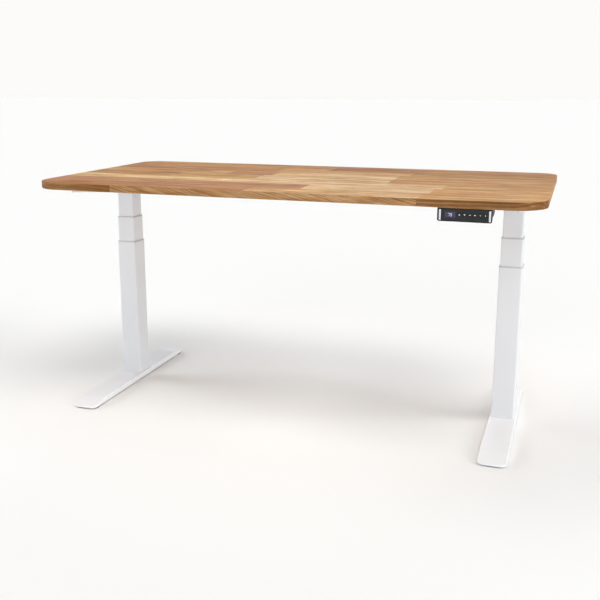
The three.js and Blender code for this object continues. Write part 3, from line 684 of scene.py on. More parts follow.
def desktop():
    """The top, cut into boards that each carry the facts their grain is drawn from."""
    width, depth = TOP_HIGH.x - TOP_LOW.x, TOP_HIGH.y - TOP_LOW.y
    turns = [math.radians(90 * i / 4) for i in range(5)]
    edge = [(TOP_EASE * (1 - math.sin(t)), TOP_EASE * (1 - math.cos(t))) for t in turns]
    levels = [(inset, TOP_LOW.z + rise) for inset, rise in edge]
    levels += [(inset, TOP_HIGH.z - rise) for inset, rise in reversed(edge)]
    bm = bmesh.new()
    add_loft(bm, stepped((width, depth), TOP_CORNER, levels, steps=20, back=TOP_BACK_CORNER))

    def cut(faces, point, normal):
        edges = {e for f in faces for e in f.edges}
        verts = {v for f in faces for v in f.verts}
        bmesh.ops.bisect_plane(
            bm, geom=[*faces, *edges, *verts], dist=1e-4, plane_co=point, plane_no=normal
        )

    def is_front(face):
        return abs(face.normal.z) < LEVEL and face.calc_center_median().y < TOP_LOW.y + BOARD

    bm.normal_update()
    for row in range(1, len(ROWS)):
        cut(list(bm.faces), (0, TOP_LOW.y + row * BOARD, 0), (0, 1, 0))
    bm.normal_update()
    for row, boards in enumerate(ROWS):
        low = TOP_LOW.y + row * BOARD
        for end, _ in boards[:-1]:
            faces = [
                f
                for f in bm.faces
                if low < f.calc_center_median().y < low + BOARD and not is_front(f)
            ]
            cut(faces, (end, 0, 0), (1, 0, 0))
    for end, _ in FRONT_EDGE[:-1]:
        cut([f for f in bm.faces if is_front(f)], (end, 0, 0), (1, 0, 0))

    chance = random.Random(11)
    facts = {}
    for row in range(len(ROWS)):
        centre = TOP_LOW.y + (row + 0.5) * BOARD
        for end, colour in ROWS[row]:
            flat = chance.random() < FLAT_SHARE
            side = chance.choice((-1, 1))
            y = centre + side * (chance.uniform(5, 40) if flat else chance.uniform(90, 190))
            z = TOP_LOW.z - (chance.uniform(40, 110) if flat else chance.uniform(10, 60))
            lean = chance.uniform(-0.03, 0.03)
            seed = [chance.random() for _ in range(3)]
            facts[row, end] = ((*tone(*colour), 1.0), (y * MM, z * MM, lean), seed)
    for (end, colour), lean, wider in zip(FRONT_EDGE, EDGE_LEANS, EDGE_WIDER):
        seed = [chance.random() for _ in range(3)]
        pith_z = TOP_LOW.z - (EDGE_FAR if lean > EDGE_STEEP else EDGE_NEAR)
        pith = ((TOP_LOW.y + 30) * MM, pith_z * MM, lean)
        facts["front", end] = ((*tone(*colour), wider), pith, seed)

    tones = bm.faces.layers.float_color.new("board_tone")
    piths = bm.faces.layers.float_vector.new("board_pith")
    seeds = bm.faces.layers.float_vector.new("board_seed")
    bm.normal_update()
    for face in bm.faces:
        at = face.calc_center_median()
        row = min(int((at.y - TOP_LOW.y) / BOARD), len(ROWS) - 1)
        boards, key = (FRONT_EDGE, "front") if is_front(face) else (ROWS[row], row)
        end = next(right for right, _ in boards if at.x < right + 0.5)
        colour, pith, seed = facts[key, end]
        face[tones] = colour
        face[piths] = pith
        face[seeds] = seed
    piece("desktop_boards", bm, OAK, "desktop", angle=40)


# ------ columns
FOOT_CORNER = 18
FOOT_SLOPE = 66
FOOT_LIP = 5
FOOT_SHEET = 3
FOOT_ROUND = 2.2
FOLD = 2  # half the length over which the foot's sheet bends
FOOT_BOLTS = (-24, 24)  # places of the foot's bolts round the column's axis, both ways
FOOT_WASHER = ((9, 0.1), (9.6, 0.5), (9.6, 1.6), (9, 2))
GLIDE_BOSS = 8
GLIDE_BORE = 4.6
GLIDE_PAD = 3.6
GLIDE_PITCH = 0.9
TUBE_CORNER = 6
LEAST_CORNER = 1.2
TUBE_WALL = 2
PLATE = 4  # thickness of the plate that closes a tube's lower end
COLLAR_CORNER = 6.5
COLLAR_PLAY = 0.35


def column(side):
    """Places column drawings: +X towards the middle of the desk, the origin on the floor."""
    axis = middle(side + "_outer_tube")
    mirror = Matrix.Scale(-1, 4, (1, 0, 0)) if side == "right" else Matrix()
    return Matrix.Translation((axis.x, axis.y, 0)) @ mirror


def foot(side):
    at = column(side)
    low, high = corners(side + "_foot")
    mid = middle(side + "_foot").y - at.translation.y
    half_width, half_length = (high.x - low.x) / 2, (high.y - low.y) / 2
    fold = half_length - FOOT_SLOPE
    drop = high.z - low.z - FOOT_LIP

    def top(y):
        """Height of the upper surface at a distance from the foot's middle."""
        past = abs(y) - fold
        if past < -FOLD:
            return high.z
        fall = past if past > FOLD else (past + FOLD) ** 2 / (4 * FOLD)
        return high.z - fall * drop / FOOT_SLOPE

    def plan(inset):
        radius = FOOT_CORNER - inset
        x, y = half_width - inset - radius, half_length - inset - radius
        near = [fold + FOLD * k / 3 for k in (3, 2, 1, 0, -1, -2, -3)]
        straight = [-v for v in near] + [fold * k / 4 for k in (-3, -2, -1, 0, 1, 2, 3)] + near[::-1]
        right = arc(x, -y, radius, -90, 0, 9) + [(x + radius, v) for v in straight]
        right += arc(x, y, radius, 0, 90, 9)
        return right + [(-u, v) for u, v in reversed(right)]

    def ring(inset, height):
        return [(u, mid + v, height(v)) for u, v in plan(inset)]

    rings = [ring(FOOT_SHEET - 0.4, lambda v: low.z), ring(0.5, lambda v: low.z)]
    rings.append(ring(0, lambda v: low.z + 0.6))
    for k in range(5):
        turn = math.radians(90 * k / 4)
        inset = FOOT_ROUND * (1 - math.cos(turn))
        sink = FOOT_ROUND * (1 - math.sin(turn))
        rings.append(ring(inset, lambda v, sink=sink: top(v) - sink))
    under = [ring(FOOT_SHEET, lambda v: low.z + 0.4), ring(FOOT_SHEET, lambda v: top(v) - FOOT_SHEET)]
    bm = bmesh.new()
    outside = add_loft(bm, rings, at, cap=False)
    inside = add_loft(bm, under, at, cap=False)
    count = len(rings[0])
    for i in range(count):
        j = (i + 1) % count
        bm.faces.new((outside[0][i], outside[0][j], inside[0][j], inside[0][i]))
    for edge in (outside[-1], inside[-1]):
        for i in range(count // 2 - 1):
            bm.faces.new((edge[i], edge[i + 1], edge[count - 2 - i], edge[count - 1 - i]))
    for number in range(1, 5):
        stem = middle(f"{side}_glide_{number}")
        y = (at.inverted() @ stem).y - mid
        roof = min(top(y - GLIDE_BOSS), top(y + GLIDE_BOSS)) - 1.2
        profile = [(GLIDE_BORE, low.z), (GLIDE_BOSS - 0.5, low.z), (GLIDE_BOSS, low.z + 0.5)]
        profile += [(GLIDE_BOSS, roof), (GLIDE_BORE, roof)]
        add_turned(bm, profile, Matrix.Translation((stem.x, stem.y, 0)), 28, bored=True)
    # The foot sheet wears the lighter copy of the white coat, whose extra lightness is painted light.
    piece(side + "_foot_sheet", bm, FOOT_WHITE_PAINTED_LIGHT, side + "_foot", angle=45)

    bm = bmesh.new()
    for x in FOOT_BOLTS:
        for y in FOOT_BOLTS:
            place = at @ facing((x, y, high.z - FOOT_SHEET), (0, 0, -1))
            add_bolt(bm, place, FOOT_WASHER, 6.5, 4, 4, 1.8, hexagon, 0.55)
    fasteners(side + "_foot_bolts", bm, side + "_foot")


def tube(side, part, plate_hole=None):
    """A column's tube; plate_hole is the hole in the plate at its lower end, if it has one."""
    node = f"{side}_{part}_tube"
    low, high = corners(node)
    at = column(side)
    size = high.x - low.x
    levels = [(0.3, low.z), (0, low.z + 0.4), (0, high.z - 0.5), (0.5, high.z)]
    levels += [(TUBE_WALL - 0.4, high.z), (TUBE_WALL, high.z - 0.4)]
    levels += [(TUBE_WALL, low.z + 0.3), (TUBE_WALL - 0.3, low.z)]
    bm = bmesh.new()
    rings = stepped((size, size), TUBE_CORNER, levels, least=LEAST_CORNER)
    add_loft(bm, rings, at, cap=False, loop=True)
    if plate_hole:
        inner = size - 2 * TUBE_WALL - 0.2
        hole = [(x, y) for x, y, _ in circle(plate_hole, 0, 32)]
        add_pierced(bm, round_rect(inner, inner, 3.8), [hole], low.z, low.z + PLATE, at=at)
    piece(f"{side}_{part}_sleeve", bm, WHITE, node, angle=40)


def collar(side, part, passing):
    """Guide ring at a tube's mouth, a little proud of it, with a drip edge, round a passing tube."""
    node = f"{side}_{part}_collar"
    low, high = corners(node)
    size = high.x - low.x
    inner_low, inner_high = corners(f"{side}_{passing}_tube")
    bore = (size - (inner_high.x - inner_low.x)) / 2 - COLLAR_PLAY
    levels = [(0.5, low.z - 0.25), (0.15, low.z), (0, low.z + 0.5), (0, high.z - 1.1)]
    levels += [(0.35, high.z - 0.4), (1.1, high.z), (bore - 0.5, high.z), (bore, high.z - 0.5)]
    levels += [(bore, low.z), (bore - 0.4, low.z - 0.25)]
    bm = bmesh.new()
    rings = stepped((size, size), COLLAR_CORNER, levels, least=LEAST_CORNER)
    add_loft(bm, rings, column(side), cap=False, loop=True)
    piece(f"{side}_{part}_guide_ring", bm, GUIDE, node, angle=50)


def glide(side, number):
    node = f"{side}_glide_{number}"
    low, high = corners(node)
    axis = middle(node)
    at = Matrix.Translation((axis.x, axis.y, 0))
    radius = (high.x - low.x) / 2
    rim = low.z + GLIDE_PAD
    pad = [(radius - 3, low.z), (radius - 0.4, low.z + 0.2), (radius, low.z + 0.6)]
    pad += [(radius, rim - 0.3), (radius - 0.3, rim), (9, rim)]
    stem = [(3.6, rim - 0.2)]
    for i in range(int((high.z - rim - 0.6) / GLIDE_PITCH)):
        z = rim + 0.1 + i * GLIDE_PITCH
        crest = [(4.0, z + GLIDE_PITCH * 0.4), (4.0, z + GLIDE_PITCH * 0.6)]
        stem += [(3.5, z), *crest, (3.5, z + GLIDE_PITCH)]
    stem += [(3.2, high.z)]
    bm = bmesh.new()
    add_turned(bm, pad, at, 48)
    add_turned(bm, stem, at, 32)
    obj = piece(f"{side}_glide_{number}_pad", bm, [RUBBER, STEEL], node, angle=50)
    paint_second(obj, lambda face: max(v.z for v in face) > rim + 0.05)


# ------ drives
WORM_Y = 27
ALONG_X = Matrix.Rotation(math.radians(90), 4, "Y")
GEARBOX = (-28, 28, -27, 40)  # ends along X, then along Y, from the column's axis
GEARBOX_RIBS = (9, 20, 31)  # from its end nearer the front
MOTOR_START = 36
BRACKET_SCREWS = ((-16, 16), (-296, -210, -120, 120, 210, 296))  # X, then Y, from the axis
BRACKET_SHEET = 2.5
BRACKET_WASHER = ((5.6, 0), (6, 0.3), (6, 0.9), (5.6, 1.2))
HEAD_BOLTS = ((-22, 20), (-38, 50))
HEAD_WASHER = ((7, -0.1), (7.4, 0.3), (7.4, 1.2), (7, 1.5))


def gearbox(side):
    node = side + "_gearbox_housing"
    low, high = corners(node)
    at = column(side)
    x0, x1, y0, y1 = GEARBOX
    levels = [(0.6, low.z), (0, low.z + 0.6), (0, low.z + 5), (2.2, low.z + 6.2), (2.6, high.z - 4)]
    levels += [(3.4, high.z - 1.6), (5.4, high.z - 0.3), (8, high.z)]
    centre = ((x0 + x1) / 2, (y0 + y1) / 2)
    bm = bmesh.new()
    add_loft(bm, stepped((x1 - x0, y1 - y0), 9, levels, centre, 6, least=2), at)
    nose = at @ Matrix.Translation((0, WORM_Y, middle(side + "_motor").z)) @ ALONG_X
    add_turned(bm, [(14, 20), (18.5, 26), (18.5, 30), (20.3, 30.6), (20.3, 34.6), (19.6, 35.3)], nose)
    for y in GEARBOX_RIBS:
        for way in (-1, 1):
            rib = [(way * 30, low.z + 5), (way * 25, low.z + 5), (way * 25, high.z - 4)]
            add_prism(bm, softened(rib, 0.6), y0 + y - 1.4, y0 + y + 1.4, "y", at)
    piece(side + "_gearbox_casting", bm, CAST, node, bevel=0.7, angle=40, segments=2)

    bm = bmesh.new()
    for x, y in ((x0 + 7, y0 + 6), (x1 - 7, y0 + 6), (x0 + 7, y1 - 6), (x1 - 7, y1 - 6)):
        add_screw(bm, at @ facing((x, y, low.z + 5.8), (0, 0, 1)), 4.2, 3.2, 2.4, 5, hexagon, 0.55)
    fasteners(side + "_gearbox_screws", bm, node)


def motor(side):
    node = side + "_motor"
    low, high = corners(node)
    radius = (high.z - low.z) / 2
    start = MOTOR_START
    end = start + high.x - low.x
    along = column(side) @ Matrix.Translation((0, WORM_Y, middle(node).z)) @ ALONG_X

    def around(count, first):
        return [along @ Matrix.Rotation(first + 2 * math.pi * k / count, 4, "Z") for k in range(count)]

    front = [(5, 0), (4, 0.5), (4, 2.5), (0.6, 3.2), (0, 4), (0, 7), (0.7, 7.6), (0.7, 9), (0, 9.6)]
    rear = [(0, 24), (0.5, 23.4), (0.5, 22), (0, 21.4), (0, 19.5), (1, 18.4), (5, 17.5)]
    can = [(radius - inset, start + past) for inset, past in front]
    can += [(radius - inset, end - before) for inset, before in rear]
    bm = bmesh.new()
    add_turned(bm, can, along, 72)
    rib = [(radius - 0.4, start + 12), (radius, start + 13), (radius, end - 28), (radius - 0.4, end - 27)]
    for spot in around(4, math.radians(45)):
        add_prism(bm, softened(rib, 0.2), -2.2, 2.2, "y", spot)
    piece(side + "_motor_can", bm, PAINTED, node, bevel=0.25, angle=40, segments=2)

    cap = [(4.4, 17.6), (4, 17), (4, 4), (4.8, 2), (6.4, 0.6), (9, 0)]
    grip = [(4.2, 14), (3.5, 13.4), (3.5, 6), (4.2, 5.4)]
    cap, grip = ([(radius - inset, end - before) for inset, before in line] for line in (cap, grip))
    bm = bmesh.new()
    add_turned(bm, cap, along, 64)
    for spot in around(12, 0):
        add_prism(bm, softened(grip, 0.2), -1.2, 1.2, "y", spot)
    piece(side + "_motor_cap", bm, BLACK, body=body_of(node), bevel=0.25, segments=2)


def add_grid(bm, at, height, places, *bolt):
    """Bolts from below at every X and Y of places; bolt is what add_bolt takes."""
    for y in places[1]:
        for x in places[0]:
            add_bolt(bm, at @ facing((x, y, height), (0, 0, -1)), *bolt)


def bracket_screws(side):
    plate, head = side + "_side_bracket", side + "_head_bracket"
    at = column(side)
    bm = bmesh.new()
    under = corners(plate)[1].z - BRACKET_SHEET - 0.1
    add_grid(bm, at, under, BRACKET_SCREWS, BRACKET_WASHER, 4.8, 2.8, 2.2, 2)
    fasteners(side + "_bracket_screws", bm, plate)
    bm = bmesh.new()
    under = corners(head)[0].z
    add_grid(bm, at, under, HEAD_BOLTS, HEAD_WASHER, 5.4, 3.6, 3, 2, hexagon, 0.55)
    fasteners(side + "_head_bolts", bm, head)


# ------ crossbar
RAIL_SHEET = 2
CLAMPS = (-128, -72, 72, 128)  # clamp screws on each pair of rails
CLAMP_WASHER = ((6.6, -0.1), (7, 0.3), (7, 1.1), (6.6, 1.4))


def rail(place, side):
    node = f"crossbar_{place}_{side}"
    low, high = corners(node)
    open_y, back_y = (high.y, low.y) if place == "front" else (low.y, high.y)
    web_y = back_y + (RAIL_SHEET if place == "front" else -RAIL_SHEET)
    z0, z1 = low.z, high.z
    outline = [(open_y, z0), (back_y, z0), (back_y, z1), (open_y, z1), (open_y, z1 - RAIL_SHEET)]
    outline += [(web_y, z1 - RAIL_SHEET), (web_y, z0 + RAIL_SHEET), (open_y, z0 + RAIL_SHEET)]
    radii = [0.5, 3, 3, 0.5, 0.5, 1, 1, 0.5]
    bm = bmesh.new()
    add_prism(bm, softened(outline, radii, 5), low.x, high.x, "x")
    piece(node + "_channel", bm, WHITE, node, bevel=0.3, angle=40, segments=2)


def clamp_screws(place):
    node = f"crossbar_{place}_left"
    bm = bmesh.new()
    for x in CLAMPS:
        spot = facing((x, middle(node).y, corners(node)[0].z), (0, 0, -1))
        add_bolt(bm, spot, CLAMP_WASHER, 5.2, 3.2, 2.6, 1.2, hexagon, 0.55)
    fasteners(f"crossbar_{place}_screws", bm, node)


# ------ control box
INLET = (290, 742)  # middle of the mains inlet, in X and Z
INLET_DEPTH = 14.2
INLET_PINS = ((-5, -1.6), (0, 2.4), (5, -1.6))  # from the inlet's middle
INLET_OPENING = (22.4, 15.4)
INLET_OUTSIDE = (29, 21)
RIB_STEP = 12
BOX_PEG = 9  # the pegs' distance from the case's sides
COVER_SCREW = 7  # the screws' distance from the cover's ends


def control_box():
    """What is on the control box's case and cover, which are shown themselves."""
    low, high = corners("control_box_case")
    mid = middle("control_box_case")
    body = body_of("control_box_case")
    bm = bmesh.new()
    for x in range(int(low.x) + 24, int(high.x) - 60, RIB_STEP):
        top, tip = low.z + 0.3, low.z - 1.1
        rib = [(x - 2, top), (x + 2, top), (x + 1.4, tip), (x - 1.4, tip)]
        add_prism(bm, softened(rib, 0.4, 3), low.y + 16, high.y - 16, "y")
    add_prism(bm, round_rect(58, 14, 2.5, high.x - 48, mid.y), low.z - 0.8, low.z + 0.2)
    peg = [(4.4, -0.1), (4.4, 0.9), (4.0, 1.3), (2.6, 1.3), (2.4, 0.6)]
    for x in (low.x + BOX_PEG, high.x - BOX_PEG):
        for y in (low.y + BOX_PEG, high.y - BOX_PEG):
            add_turned(bm, peg, facing((x, y, low.z), (0, 0, -1)), 28)
    piece("control_box_ribs", bm, BLACK, body=body, bevel=0.25, segments=2)

    bm = bmesh.new()
    for x, z in INLET_PINS:
        place = facing((INLET[0] + x, high.y - INLET_DEPTH, INLET[1] + z), (0, 1, 0))
        sections = ((0, 1.6, 3.4, 0.5), (9, 1.6, 3.4, 0.5), (10, 0.9, 2.6, 0.3))
        add_loft(bm, [raised(round_rect(*size, steps=3), level) for level, *size in sections], place)
    piece("inlet_pins", bm, BRASS, body=body)

    bm = bmesh.new()
    opening = round_rect(*INLET_OPENING, 2, *INLET)
    add_pierced(bm, round_rect(*INLET_OUTSIDE, 3, *INLET), [opening], high.y - 0.1, high.y + 1.2, "y")
    piece("inlet_rim", bm, BLACK, body=body, bevel=0.35, segments=2)

    bm = bmesh.new()
    cover_low, cover_high = corners("control_box_cover")
    for x in (cover_low.x + COVER_SCREW, cover_high.x - COVER_SCREW):
        add_screw(bm, facing((x, mid.y, cover_low.z), (0, 0, -1)), 4.6, 2.6, 1.9, 3)
    fasteners("control_box_screws", bm, "control_box_case")

    bm = bmesh.new()
    place = facing((low.x + 30, low.y + 0.1, mid.z), (0, -1, 0))
    add_turned(bm, [(2.2, -0.4), (2.2, 0.5), (1.9, 0.9), (1.1, 1.2)], place, 24)
    piece("control_box_lamp", bm, DIGITS, body=body)


# ------ handset
PANEL_INSET = 0.5  # how far the panel lies behind the frame's face
PANEL_X = (525.0, 651.0)
PANEL_Z = (731.2, 761.2)
PANEL_MIDDLE = (sum(PANEL_X) / 2, sum(PANEL_Z) / 2)
PANEL_SIZE = (PANEL_X[1] - PANEL_X[0], PANEL_Z[1] - PANEL_Z[0])
FRAME_CORNER = 5
BAR_X = (521.0, 654.7)
BAR_SIZE = (5.4, 29.4)
KEYS = range(1, 7)
KEY_PLAY = 0.8  # how much larger than a key its hole in the panel is
WINDOW = (548.5, 747.4, 29.0, 16.5)  # middle, width and height
READING = "79"
DIGIT = (4.9, 8.6, 1.25)  # width, height and thickness of stroke
DIGIT_GAP = 1.4
SEGMENTS = {"7": "abc", "9": "abcdfg"}


def segment_boxes(width, height, stroke):
    """The seven strokes of a digit, as middle, width and height."""
    half, quarter = height / 2 - stroke / 2, height / 4
    tall = height / 2 - stroke * 1.15
    flat = width - stroke * 1.3
    side = width / 2 - stroke / 2
    return {
        "a": (0, half, flat, stroke),
        "g": (0, 0, flat, stroke),
        "d": (0, -half, flat, stroke),
        "b": (side, quarter, stroke, tall),
        "c": (side, -quarter, stroke, tall),
        "f": (-side, quarter, stroke, tall),
        "e": (-side, -quarter, stroke, tall),
    }


def key_symbol(number):
    """The pale mark on a key, as outlines round the key's middle."""
    if number == 1:
        return [softened([(-2.5, -1.6), (2.5, -1.6), (0, 2.2)], 0.4)]
    if number == 2:
        return [softened([(-2.5, 1.6), (0, -2.2), (2.5, 1.6)], 0.4)]
    if number in (3, 4):
        return [round_rect(4.8, 1.9, 0.8, steps=4)]
    if number == 5:
        return [round_rect(1.8, 3.0, 0.7, steps=4)]
    return [round_rect(1.5, 4.4, 0.7, steps=4)]


def front_of(node):
    """Middle, width and height of a CAD node as seen from the front."""
    low, high = corners(node)
    return (low.x + high.x) / 2, (low.z + high.z) / 2, high.x - low.x, high.z - low.z


def handset_front():
    low, high = corners("handset_face")
    body = body_of("handset_face")
    corner = FRAME_CORNER
    outline = [(low.x, high.z), *arc(low.x + corner, low.z + corner, corner, 180, 270, 8)]
    outline += [*arc(high.x - corner, low.z + corner, corner, 270, 360, 8), (high.x, high.z)]
    bm = bmesh.new()
    opening = round_rect(*PANEL_SIZE, 1.6, *PANEL_MIDDLE, 5)
    add_pierced(bm, outline, [opening], low.y, high.y, "y")
    piece("handset_frame", bm, GLOSS, "handset_face", bevel=0.7)

    holes = []
    for number in KEYS:
        x, z, width, height = front_of(f"key_{number}")
        holes.append(round_rect(width + KEY_PLAY, height + KEY_PLAY, 2, x, z, 4))
    outline = round_rect(*(size - 0.3 for size in PANEL_SIZE), 1.5, *PANEL_MIDDLE, 5)
    bm = bmesh.new()
    add_pierced(bm, outline, holes, low.y + PANEL_INSET, high.y - 0.3, "y")
    piece("handset_panel", bm, PANEL, body=body, bevel=0.18, segments=2)

    levels = [(0, low.y + 0.2), (0, low.y - 0.25), (0.35, low.y - 0.6), (1.0, low.y - 0.75)]
    for side, x in zip(SIDES, BAR_X):
        bm = bmesh.new()
        add_loft(bm, stepped(BAR_SIZE, 1.5, levels, (x, PANEL_MIDDLE[1]), 5, "y"))
        piece(f"handset_{side}_bar", bm, CHROME, body=body, angle=30)


def handset_display():
    front = corners("handset_face")[0].y + PANEL_INSET
    body = body_of("handset_face")
    x, z, width, height = WINDOW
    bm = bmesh.new()
    add_prism(bm, round_rect(width, height, 1.2, x, z, 5), front - 0.25, front + 0.1, "y")
    piece("handset_window", bm, GLASS, body=body, bevel=0.15, segments=2)

    bm = bmesh.new()
    boxes = segment_boxes(*DIGIT)
    for place, digit in enumerate(READING):
        digit_x = x - 0.6 + (place - 0.5) * (DIGIT[0] + DIGIT_GAP)
        for segment in SEGMENTS[digit]:
            dx, dz, w, h = boxes[segment]
            stroke = round_rect(w, h, 0.35, digit_x + dx, z - 0.4 + dz, 3)
            add_prism(bm, stroke, front - 0.31, front - 0.2, "y")
    piece("handset_digits", bm, DIGITS, body=body)


def handset_key(number):
    node = f"key_{number}"
    low, high = corners(node)
    x, z, width, height = front_of(node)
    levels = [(0.1, high.y), (0, high.y - 0.3), (0, low.y + 0.35), (0.25, low.y + 0.1), (0.8, low.y)]
    bm = bmesh.new()
    add_loft(bm, stepped((width, height), 1.7, levels, (x, z), 4, "y"))
    for outline in key_symbol(number):
        add_prism(bm, [(x + u, z + v) for u, v in outline], low.y - 0.06, low.y + 0.05, "y")
    obj = piece(node + "_cap", bm, [PANEL, PRINT], node, angle=30)
    paint_second(obj, lambda face: min(v.y for v in face) < low.y - 0.03)


def handset_housing():
    low, high = corners("handset_body")
    side = [(low.y, high.z), (low.y, low.z), (low.y + 9, low.z), (low.y + 23, low.z + 10.5)]
    side += [(high.y - 20, low.z + 11.5), (high.y, low.z + 19), (high.y, high.z)]
    bm = bmesh.new()
    add_prism(bm, softened(side, [0, 1, 5, 6, 8, 3, 0], 5), low.x, high.x, "x")
    piece("handset_housing", bm, BLACK, "handset_body", bevel=1.2, angle=40)


# ------ leads
LEAD_RADIUS = 3.0
LEAD_RISE = 17  # from the motors' axis up to where the leads run along under the desktop
SEAT_RISE = 3  # from the motors' axis up to the plugs
LEFT_CLIPS = (-300, -100)  # places along X
RIGHT_CLIP = 90  # to the right of the control box
HANDSET_CLIP = (520, 150, 131)  # place along X, distance behind the handset, heading
HANDSET_EXIT = (587, 755)  # where the lead leaves the handset, in X and Z
HANDSET_SEAT = 20  # its plug's place along Y
SLEEVE_RIBS = 6
CLIP_GRIP = 3.6
CLIP_SHEET = 1.4
CLIP_REACH = 15  # from the lead's middle to the end of a clip's ear
PLUG_SIZE = (14, 10)


def lead(node, points):
    """A held lead with a ribbed sleeve where it leaves the motor or the handset."""
    route = smooth_route(points, 14)
    walk = [0.0]
    for a, b in zip(route, route[1:]):
        walk.append(walk[-1] + (b - a).length)
    levels = [(0.2, 4.6), (1.6, 4.9)]
    for k in range(SLEEVE_RIBS):
        base, thick = 2.4 + k * 3.0, 4.9 - k * 0.22
        levels += [(base, thick - 0.7), (base + 0.9, thick - 0.7)]
        levels += [(base + 1.1, thick), (base + 2.4, thick - 0.1)]
    levels.append((22, 3.2))
    spots, radii = [], []
    for along, radius in levels:
        k = max(i for i in range(len(route) - 1) if walk[i] <= along)
        share = (along - walk[k]) / (walk[k + 1] - walk[k])
        spots.append(route[k].lerp(route[k + 1], share))
        radii.append(radius)
    bm = bmesh.new()
    add_sweep(bm, route, LEAD_RADIUS, 20)
    add_sweep(bm, spots, radii, 20)
    piece(node + "_sheath", bm, SHEATH, node, angle=40)


def clip(name, x, y, z, heading):
    """Saddle clip that holds a lead under the desktop."""
    top = TOP_LOW.z - 0.3
    under = top - CLIP_SHEET
    outside = CLIP_GRIP + CLIP_SHEET
    outline = [(-CLIP_REACH, top), (-CLIP_REACH, under), (-outside, under)]
    outline += arc(0, z, outside, 180, 360, 12)
    outline += [(outside, under), (CLIP_REACH, under), (CLIP_REACH, top), (CLIP_GRIP, top)]
    outline += [*arc(0, z, CLIP_GRIP, 360, 180, 12), (-CLIP_GRIP, top)]
    at = Matrix.Translation((x, y, 0)) @ Matrix.Rotation(math.radians(heading), 4, "Z")
    bm = bmesh.new()
    add_prism(bm, outline, -4.5, 4.5, "x", at)
    piece(name + "_saddle", bm, BLACK, body="top", bevel=0.35, segments=2)
    bm = bmesh.new()
    for across in (-10.4, 10.4):
        add_screw(bm, at @ facing((0, across, under), (0, 0, -1)), 3.2, 1.8, 1.4, 1)
    fasteners(name + "_screws", bm, "desktop")


def plug(name, x, y, z, way):
    """Moulded plug on the end of a lead, seated in the control box."""
    levels = [(0.6, 0.2), (0, 1.0), (0, 8.0), (0.5, 8.8), (0.9, 9.0)]
    levels += [(0.9, 10.2), (0.3, 10.6), (0.3, 14.0), (1.6, 15.4)]
    levels = [(inset, x + way * out) for inset, out in levels]
    bm = bmesh.new()
    add_loft(bm, stepped(PLUG_SIZE, 2.4, levels, (y, z), 5, "x"))
    piece(name, bm, BLACK, body="top", angle=30)


def leads():
    box_low, box_high = corners("control_box_case")
    drive = middle("left_motor")
    y, z = drive.y, drive.z
    held, seat = z + LEAD_RISE, z + SEAT_RISE
    x = corners("motor_cable_left")[0].x
    route = [(x, y, z), (x + 15, y, z), (x + 60, y + 6, held), (LEFT_CLIPS[0], y + 8, held)]
    route += [(LEFT_CLIPS[1], y + 4, held), (box_low.x - 70, y, held - 1), (box_low.x - 25, y, z + 6)]
    lead("motor_cable_left", [*route, (box_low.x - 0.5, y, seat)])

    right_clip = box_high.x + RIGHT_CLIP
    x = corners("motor_cable_right")[1].x
    route = [(x, y, z), (x - 15, y, z), (x - 60, y + 5, held), (right_clip, y + 5, held)]
    lead("motor_cable_right", [*route, (box_high.x + 30, y + 3, z + 6), (box_high.x + 0.5, y, seat)])

    back = corners("handset_body")[1].y
    x, exit_z = HANDSET_EXIT
    clip_x, behind, heading = HANDSET_CLIP
    route = [(x, back + 0.6, exit_z), (x, back + 20, exit_z), (x - 12, back + 80, held)]
    route += [(clip_x, back + behind, held), (460, -110, held - 4), (430, -68, 722), (418, -40, 717)]
    route += [(402, -12, 724), (375, 14, 738), (350, HANDSET_SEAT, z + 4)]
    lead("handset_cable", [*route, (box_high.x + 0.5, HANDSET_SEAT, seat)])

    clip("clip_1", LEFT_CLIPS[0], y + 8, held, 0)
    clip("clip_2", LEFT_CLIPS[1], y + 4, held, 0)
    clip("clip_3", right_clip, y + 5, held, 0)
    clip("clip_4", clip_x, back + behind, held, heading)
    plug("plug_left", box_low.x, y, seat, -1)
    plug("plug_right", box_high.x, y, seat, 1)
    plug("plug_handset", box_high.x, HANDSET_SEAT, seat, 1)


# ------ the desk
SHOWN = (  # CAD nodes of each column that are shown themselves: finish, slot, rounding
    ("side_bracket", WHITE, "white_powder_coat", 0.5),
    ("head_bracket", WHITE, "white_powder_coat", 0.8),
    ("worm_shaft", STEEL, "bright_steel", 0.2),
    ("upper_screw", BRASS, "bright_steel", 0),
    ("lower_screw", STEEL, "bright_steel", 0),
    ("base_standpipe", STEEL, "bright_steel", 0),
    ("middle_standpipe", STEEL, "bright_steel", 0),
    ("upper_nut", NYLON, "nut_plastic", 0.4),
    ("lower_nut", NYLON, "nut_plastic", 0.4),
)

desktop()
for side in SIDES:
    foot(side)
    tube(side, "outer", 6)
    tube(side, "middle", 13.5)
    tube(side, "inner")
    collar(side, "lower", "middle")
    collar(side, "upper", "inner")
    for number in range(1, 5):
        glide(side, number)
    gearbox(side)
    motor(side)
    bracket_screws(side)
    for part, finish, slot, rounding in SHOWN:
        keep(f"{side}_{part}", finish, rounding)
for place in ("front", "back"):
    for side in SIDES:
        rail(place, side)
    clamp_screws(place)
keep("control_box_case", BLACK, 1.2)
keep("control_box_cover", BLACK, 0.6)
control_box()
handset_front()
handset_display()
for number in KEYS:
    handset_key(number)
handset_housing()
leads()

